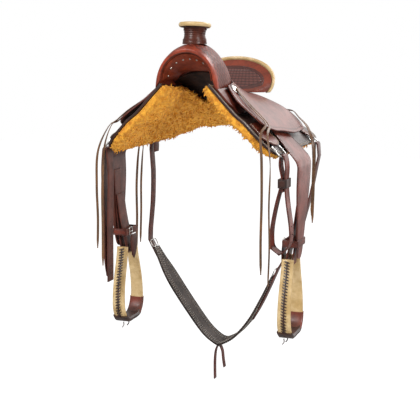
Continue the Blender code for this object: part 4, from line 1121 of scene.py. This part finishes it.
def lay_floor():
    """A pale floor that keeps the shadow and stays dark in the leather's gloss."""
    drop_selection()
    bpy.ops.mesh.primitive_plane_add(size=FLOOR_SIZE, location=(0, 0, CAD_BOX[0][2] - FLOOR_DROP))
    floor = bpy.context.object
    floor.name = "floor"
    mat = bpy.data.materials.new("floor_pale")
    mat.use_nodes = True
    t = Tree(mat.node_tree)
    shader = mat.node_tree.nodes["Principled BSDF"]
    shader.inputs["Base Color"].default_value = (0.86, 0.86, 0.86, 1)
    shader.inputs["Roughness"].default_value = 0.9
    path = t.add("ShaderNodeLightPath").outputs
    glow = t.add("ShaderNodeEmission")
    blend = t.add("ShaderNodeMixShader")
    seen = t.times(path["Is Camera Ray"], 0.82)
    t.link(t.math("MULTIPLY_ADD", path["Is Glossy Ray"], 0.65, seen), blend.inputs[0])
    t.link(t.times(path["Is Camera Ray"], 1.22), glow.inputs["Strength"])
    t.link(shader.outputs[0], blend.inputs[1])
    t.link(glow.outputs[0], blend.inputs[2])
    t.link(blend.outputs[0], mat.node_tree.nodes["Material Output"].inputs["Surface"])
    floor.data.materials.append(mat)


def set_up(data, spot, target):
    """A lamp or camera at a spot, turned to a target."""
    obj = new_object(data.name, data)
    obj.location = spot
    obj.rotation_euler = (target - Vector(spot)).to_track_quat("-Z", "Y").to_euler()
    return obj


# Operators and panel

class SADDLE_OT_stage(bpy.types.Operator):
    """Floor, lamps and camera"""
    bl_idname = "saddle.stage"
    bl_label = "Stage"

    def execute(self, context):
        light_room()
        lay_floor()
        for name, spot, size, power in LAMPS:
            lamp = bpy.data.lights.new(name, "AREA")
            lamp.size = size
            lamp.energy = power
            set_up(lamp, spot, LAMP_AIM)
        camera = bpy.data.cameras.new("camera")
        camera.lens = 88.24
        camera.sensor_width = 36
        bpy.context.scene.camera = set_up(camera, EYE, AIM)
        bpy.context.scene.view_settings.view_transform = "Standard"
        return {"FINISHED"}


class SADDLE_OT_finishes(bpy.types.Operator):
    """Leathers, rawhide, wool and metal"""
    bl_idname = "saddle.finishes"
    bl_label = "Finishes"

    def execute(self, context):
        make_grain_group()
        make_basket_group()
        make_line_group()
        c = colours()
        chestnut = tuple(c.chestnut)
        dark = tuple(c.dark)
        leather("jockey_leather", chestnut, 0.33, (0.0105, 0.0135))
        leather("stamped_leather", toned(chestnut, 1.6), 0.38, stamped=True, edges=False, coat=0.2)
        leather("fender_leather", toned(chestnut, 1.12), 0.34, (0.0075, 0.0165))
        leather("rig_leather", toned(chestnut, 0.85), 0.34, (0.0045,))
        leather("strap_leather", toned(chestnut, 0.95), 0.36, (0.0035,), coat=0.3)
        leather("skirt_leather", toned(dark, 0.8), 0.33, (0.010,))
        leather("keeper_leather", dark, 0.4, (0.003,))
        leather("cinch_leather", (0.042, 0.030, 0.026), 0.50, (0.005, 0.016, 0.027), flesh=False, coat=0.05)
        for name, colour, rough, coat in (
                ("liner_leather", toned(chestnut, 1.35, 1.25, 0.8), 0.42, 0.1),
                ("welt_leather", toned(chestnut, 0.8), 0.38, 0.45),
                ("lace_leather", (0.035, 0.012, 0.008), 0.4, 0.45),
                ("wrap_leather", (0.062, 0.015, 0.008), 0.36, 0.18),
                # Dark hide for the horn's core and the cantle board, also used as painted shade in punched
                # holes
                ("dark_hide", (0.014, 0.007, 0.005), 0.6, 0.0),
                ("string_leather", tuple(c.string), 0.42, 0.45),
                # Near black: painted shade on the ground seat and the channel strips, where the gullet lies
                # in shade
                ("ground_leather", (0.030, 0.014, 0.010), 0.6, 0.0)):
            leather(name, colour, rough, flesh=False, edges=False, coat=coat)
        panel_leather("cantle_leather", toned(chestnut, 0.95, 0.95, 0.8))
        rawhide("rawhide", tuple(c.rawhide))
        fleece("fleece", tuple(c.wool))
        polished("nickel", tuple(c.nickel))
        thread("pale_thread", (0.62, 0.47, 0.29))
        thread("dark_thread", (0.05, 0.025, 0.018))
        thread("grey_thread", (0.40, 0.37, 0.33))
        return {"FINISHED"}


class SADDLE_OT_strings(bpy.types.Operator):
    """The four pairs of hanging strings"""
    bl_idname = "saddle.strings"
    bl_label = "Saddle strings"

    def execute(self, context):
        order = 0
        for part in ("front", "rear"):
            for word, side in SIDES:
                x, y, z = SLOT_WAYS[part]
                across = Vector((x, y * side, z * side)).normalized()
                for k, fall in enumerate(FALLS["%s_%s" % (word, part)]):
                    points = [Vector((x * side, y, z)) for x, y, z in LEADS[part][k] + fall]
                    bend = 1.15 + 0.15 * (order % 3)
                    hang_string("%s_%s_thong" % (word, part), k, across, points, bend)
                    order += 1
        return {"FINISHED"}


class SADDLE_OT_skirts(bpy.types.Operator):
    """Both skirts and their stitching"""
    bl_idname = "saddle.skirts"
    bl_label = "Skirts"

    def execute(self, context):
        for word, _ in SIDES:
            sew(dress(word + "_skirt", "skirt_leather"), inset=0.0065, finish="pale_thread")
        return {"FINISHED"}


class SADDLE_OT_wool(bpy.types.Operator):
    """The golden woolskins under the skirts"""
    bl_idname = "saddle.wool"
    bl_label = "Woolskins"

    def execute(self, context):
        chance = random.Random(7)
        for word, side in SIDES:
            grow_wool(word + "_woolskin", side, chance)
        return {"FINISHED"}


# The slot between a bar and the ground seat, closed by a near-black strip that is painted shade, and the
# seat's underside by the rear jockey
CHANNEL_EDGE = ((0.071, -0.03, -0.006), (0.073, 0.03, -0.010), (0.077, 0.09, -0.019), (0.083, 0.15, -0.031),
                (0.090, 0.20, -0.043))
SEAT_UNDERLAY = ((0.128, 0.150, -0.0345), (0.160, 0.150, -0.052), (0.200, 0.150, -0.074))


class SADDLE_OT_seat(bpy.types.Operator):
    """Seat leather, ground seat and rear jockeys"""
    bl_idname = "saddle.seat"
    bl_label = "Seat"

    def execute(self, context):
        dress("seat", "jockey_leather")
        # The ground seat is painted near black, as shade under the seat
        dress("ground_seat", "ground_leather")
        for word, side in SIDES:
            for label, points, across, half, finish in (
                    ("_channel_edge", CHANNEL_EDGE, (-0.3 * side, 0, 1), 0.013, "ground_leather"),
                    ("_seat_underlay", SEAT_UNDERLAY, (0, 1, -0.27), 0.024, "rig_leather")):
                line = ease_line([(x * side, y, z) for x, y, z in points], 0.012)
                finish_plain(sweep(word + label, line, Vector(across), half, thick=0.001), finish, SADDLE)
        for word, _ in SIDES:
            dress(word + "_rear_jockey", "jockey_leather")
        return {"FINISHED"}


class SADDLE_OT_fork(bpy.types.Operator):
    """Fork cover, gullet and tree"""
    bl_idname = "saddle.fork"
    bl_label = "Fork"

    def execute(self, context):
        cover = dress("fork_cover", "stamped_leather", hard=radians(60), bevel=0.0006)
        lay_out(cover, lambda p: (p.y, atan2(p.x, p.z - 0.02) * 0.13))
        marks = []
        for v in cover.data.vertices:
            share = smooth((v.co.y + 0.236) / 0.005) * smooth((v.co.z + 0.02) / 0.02)
            marks.append(share if v.normal.y > -0.5 else 0.0)
        set_mark(cover, "stamp", marks)
        dress("gullet_liner", "liner_leather", hard=radians(60))
        dress("tree_fork", "liner_leather", hard=radians(60), bevel=0)
        for word, _ in SIDES:
            dress(word + "_bar", "welt_leather", bevel=0, levels=1)
        set_studs()
        return {"FINISHED"}


class SADDLE_OT_horn(bpy.types.Operator):
    """Wrapped horn with its cap and rim"""
    bl_idname = "saddle.horn"
    bl_label = "Horn"

    def execute(self, context):
        wind_neck()
        dress("horn_core", "dark_hide", levels=1, bevel=0)
        dress("horn_wrap", "wrap_leather", hard=radians(60))
        dress("horn_cap", "strap_leather", hard=radians(60))
        dress("horn_binding", "rawhide", hard=radians(75))
        return {"FINISHED"}


class SADDLE_OT_cantle(bpy.types.Operator):
    """Cantle face, back and rawhide binding"""
    bl_idname = "saddle.cantle"
    bl_label = "Cantle"

    def execute(self, context):
        face = dress("cantle_face", "cantle_leather", hard=radians(60))
        lay_out(face, lambda p: (atan2(p.x, 0.40 - p.y) * 0.2, p.z))
        edge = face.data.attributes["edge"].data
        panel = []
        for v in face.data.vertices:
            low = v.co.z + 0.020 - 0.30 * abs(v.co.x)
            panel.append(min(edge[v.index].value - 0.026, low * 0.8))
        set_mark(face, "panel", panel)
        dress("cantle_board", "dark_hide", bevel=0)
        dress("cantle_back", "jockey_leather")
        dress("cantle_binding", "rawhide", hard=radians(70))
        return {"FINISHED"}


# How far the rear dees are drawn in, which leaves room for the billets that swing on them
DEE_ROOM = 0.0006


class SADDLE_OT_rigging(bpy.types.Operator):
    """Rigging leathers and dees"""
    bl_idname = "saddle.rigging"
    bl_label = "Rigging"

    def execute(self, context):
        for word, _ in SIDES:
            for part in ("front", "rear"):
                rig = dress("%s_%s_rigging" % (word, part), "rig_leather")
                sew(rig, inset=0.004, finish="pale_thread")
                dee = dress_metal("%s_%s_dee" % (word, part))
                if part == "rear":
                    ways = [v.normal.copy() for v in dee.data.vertices]
                    for v, way in zip(dee.data.vertices, ways):
                        v.co -= way * DEE_ROOM
        return {"FINISHED"}


class SADDLE_OT_fenders(bpy.types.Operator):
    """Fenders, stirrup leathers and hobble straps"""
    bl_idname = "saddle.fenders"
    bl_label = "Fenders"

    def execute(self, context):
        for word, side in SIDES:
            sew(dress(word + "_fender", "fender_leather"), inset=0.0045, finish="dark_thread")
            dress(word + "_stirrup_leather", "strap_leather")
            hang_lobe(word, side)
            dress(word + "_hobble_strap", "strap_leather")
            dress_metal(word + "_hobble_buckle")
            lay_tongue(word + "_hobble_buckle", BACK, ACROSS * -side, half=0.0125)
        return {"FINISHED"}


class SADDLE_OT_stirrups(bpy.types.Operator):
    """Rawhide stirrups with lacing and wraps"""
    bl_idname = "saddle.stirrups"
    bl_label = "Stirrups"

    def execute(self, context):
        for word, side in SIDES:
            body = BODY[word + "_stirrup"]
            dress(word + "_stirrup", "rawhide", hard=radians(80), bevel=0)
            wrap = refine(word + "_tread_wrap", word + "_tread_wrap_dressed", hard=radians(80))
            with editing(wrap):
                bpy.ops.mesh.bisect(plane_co=WRAP_TOP, plane_no=WRAP_WAY, clear_outer=True, use_fill=True)
            finish_piece(wrap, "strap_leather", body, (word + "_tread_wrap",))
            dress(word + "_stirrup_bolt", "nickel", levels=1, bevel=0.0008)
            lace_seam(word, side, body)
            wrap_toe(word, side, body)
        return {"FINISHED"}


# Where a billet's or strap's holes start, the way through it, the step between them and their number
HOLES = (("off_billet", (-0.30, -0.19, -0.60), 1, (0, 0, 0.025), 8),
         ("latigo", (0.30, -0.19, -0.45), -1, (0, 0, 0.025), 3))


class SADDLE_OT_straps(bpy.types.Operator):
    """Latigo, billets, flank cinch and connecting strap"""
    bl_idname = "saddle.straps"
    bl_label = "Straps"

    def execute(self, context):
        for node in ("latigo", "off_billet"):
            dress(node, "strap_leather")
        for word, side in SIDES:
            billet = word + "_flank_billet"
            dress(billet, "strap_leather", levels=0, bevel=0.0004)
            lay_tongue(word + "_flank_buckle", Vector((0.395 * side, 0, 0.919)),
                       Vector((0.919 * side, 0, -0.395)), half=0.014)
            punch(billet, Vector((side * 0.30, 0.212, -0.30)), ACROSS * -side, Vector((0, 0, -0.026)), 7)
        for node, start, way, step, count in HOLES:
            punch(node, Vector(start), ACROSS * way, Vector(step), count)
        dress("latigo_keeper", "keeper_leather")
        cinch = dress("flank_cinch", "cinch_leather")
        for word, way in (("outer", 1), ("inner", -1)):
            for inset in (0.0055, 0.0165, 0.0275):
                label = "%s_stitches_%d" % (word, inset * 1000)
                sew(cinch, inset, "grey_thread", label, wide=0.0024, pitch=0.0085, way=way)
        dress("connecting_strap", "strap_leather")
        for word, _ in SIDES:
            dress_metal(word + "_flank_buckle")
        return {"FINISHED"}


class SADDLE_OT_conchos(bpy.types.Operator):
    """Slotted conchos"""
    bl_idname = "saddle.conchos"
    bl_label = "Conchos"

    def execute(self, context):
        plate = model_plate()
        rosette = model_rosette()
        for word, _ in SIDES:
            for part, petals, reach in (("front", 2, 0.011), ("rear", 6, 0.019)):
                node = "%s_%s_concho" % (word, part)
                spot, up = plate_seat(node)
                made = new_object(node + "_plate", plate.data.copy())
                set_down(made, spot + up * PLATE_LIFT, up)
                finish_piece(made, "nickel", BODY[node], (node,))
                under = new_object(node + "_rosette", rosette.data.copy())
                set_down(under, spot - up * ROSETTE_DROP, up)
                finish_plain(under, "wrap_leather", BODY[node])
                tie_knot(node + "_loop", spot, up, petals, reach, BODY[node])
        bpy.data.objects.remove(plate)
        bpy.data.objects.remove(rosette)
        return {"FINISHED"}


OPERATORS = (SADDLE_OT_stage, SADDLE_OT_finishes, SADDLE_OT_strings, SADDLE_OT_skirts, SADDLE_OT_wool,
             SADDLE_OT_seat, SADDLE_OT_fork, SADDLE_OT_horn, SADDLE_OT_cantle, SADDLE_OT_rigging,
             SADDLE_OT_fenders, SADDLE_OT_stirrups, SADDLE_OT_straps, SADDLE_OT_conchos)


class SADDLE_PT_build(bpy.types.Panel):
    """Sidebar panel that lists the saddle's sizes, colours and building steps."""
    bl_idname = "SADDLE_PT_build"
    bl_label = "Wade Saddle"
    bl_space_type = "VIEW_3D"
    bl_region_type = "UI"
    bl_category = "Saddle"

    def draw(self, context):
        for settings in (context.scene.saddle_sizes, context.scene.saddle_colours):
            box = self.layout.box()
            for key in settings.__annotations__:
                box.prop(settings, key)
        for kind in OPERATORS:
            self.layout.operator(kind.bl_idname)


CLASSES = (SaddleColours, SaddleSizes, *OPERATORS, SADDLE_PT_build)


def register():
    """Add the classes, and the settings on the scene."""
    for kind in CLASSES:
        bpy.utils.register_class(kind)
    bpy.types.Scene.saddle_colours = bpy.props.PointerProperty(type=SaddleColours)
    bpy.types.Scene.saddle_sizes = bpy.props.PointerProperty(type=SaddleSizes)


def unregister():
    """Take the settings and the classes away again."""
    del bpy.types.Scene.saddle_sizes
    del bpy.types.Scene.saddle_colours
    for kind in reversed(CLASSES):
        bpy.utils.unregister_class(kind)


def main():
    """Build the saddle in order."""
    register()
    for kind in OPERATORS:
        getattr(bpy.ops.saddle, kind.bl_idname.removeprefix("saddle."))()


if __name__ == "__main__":
    main()
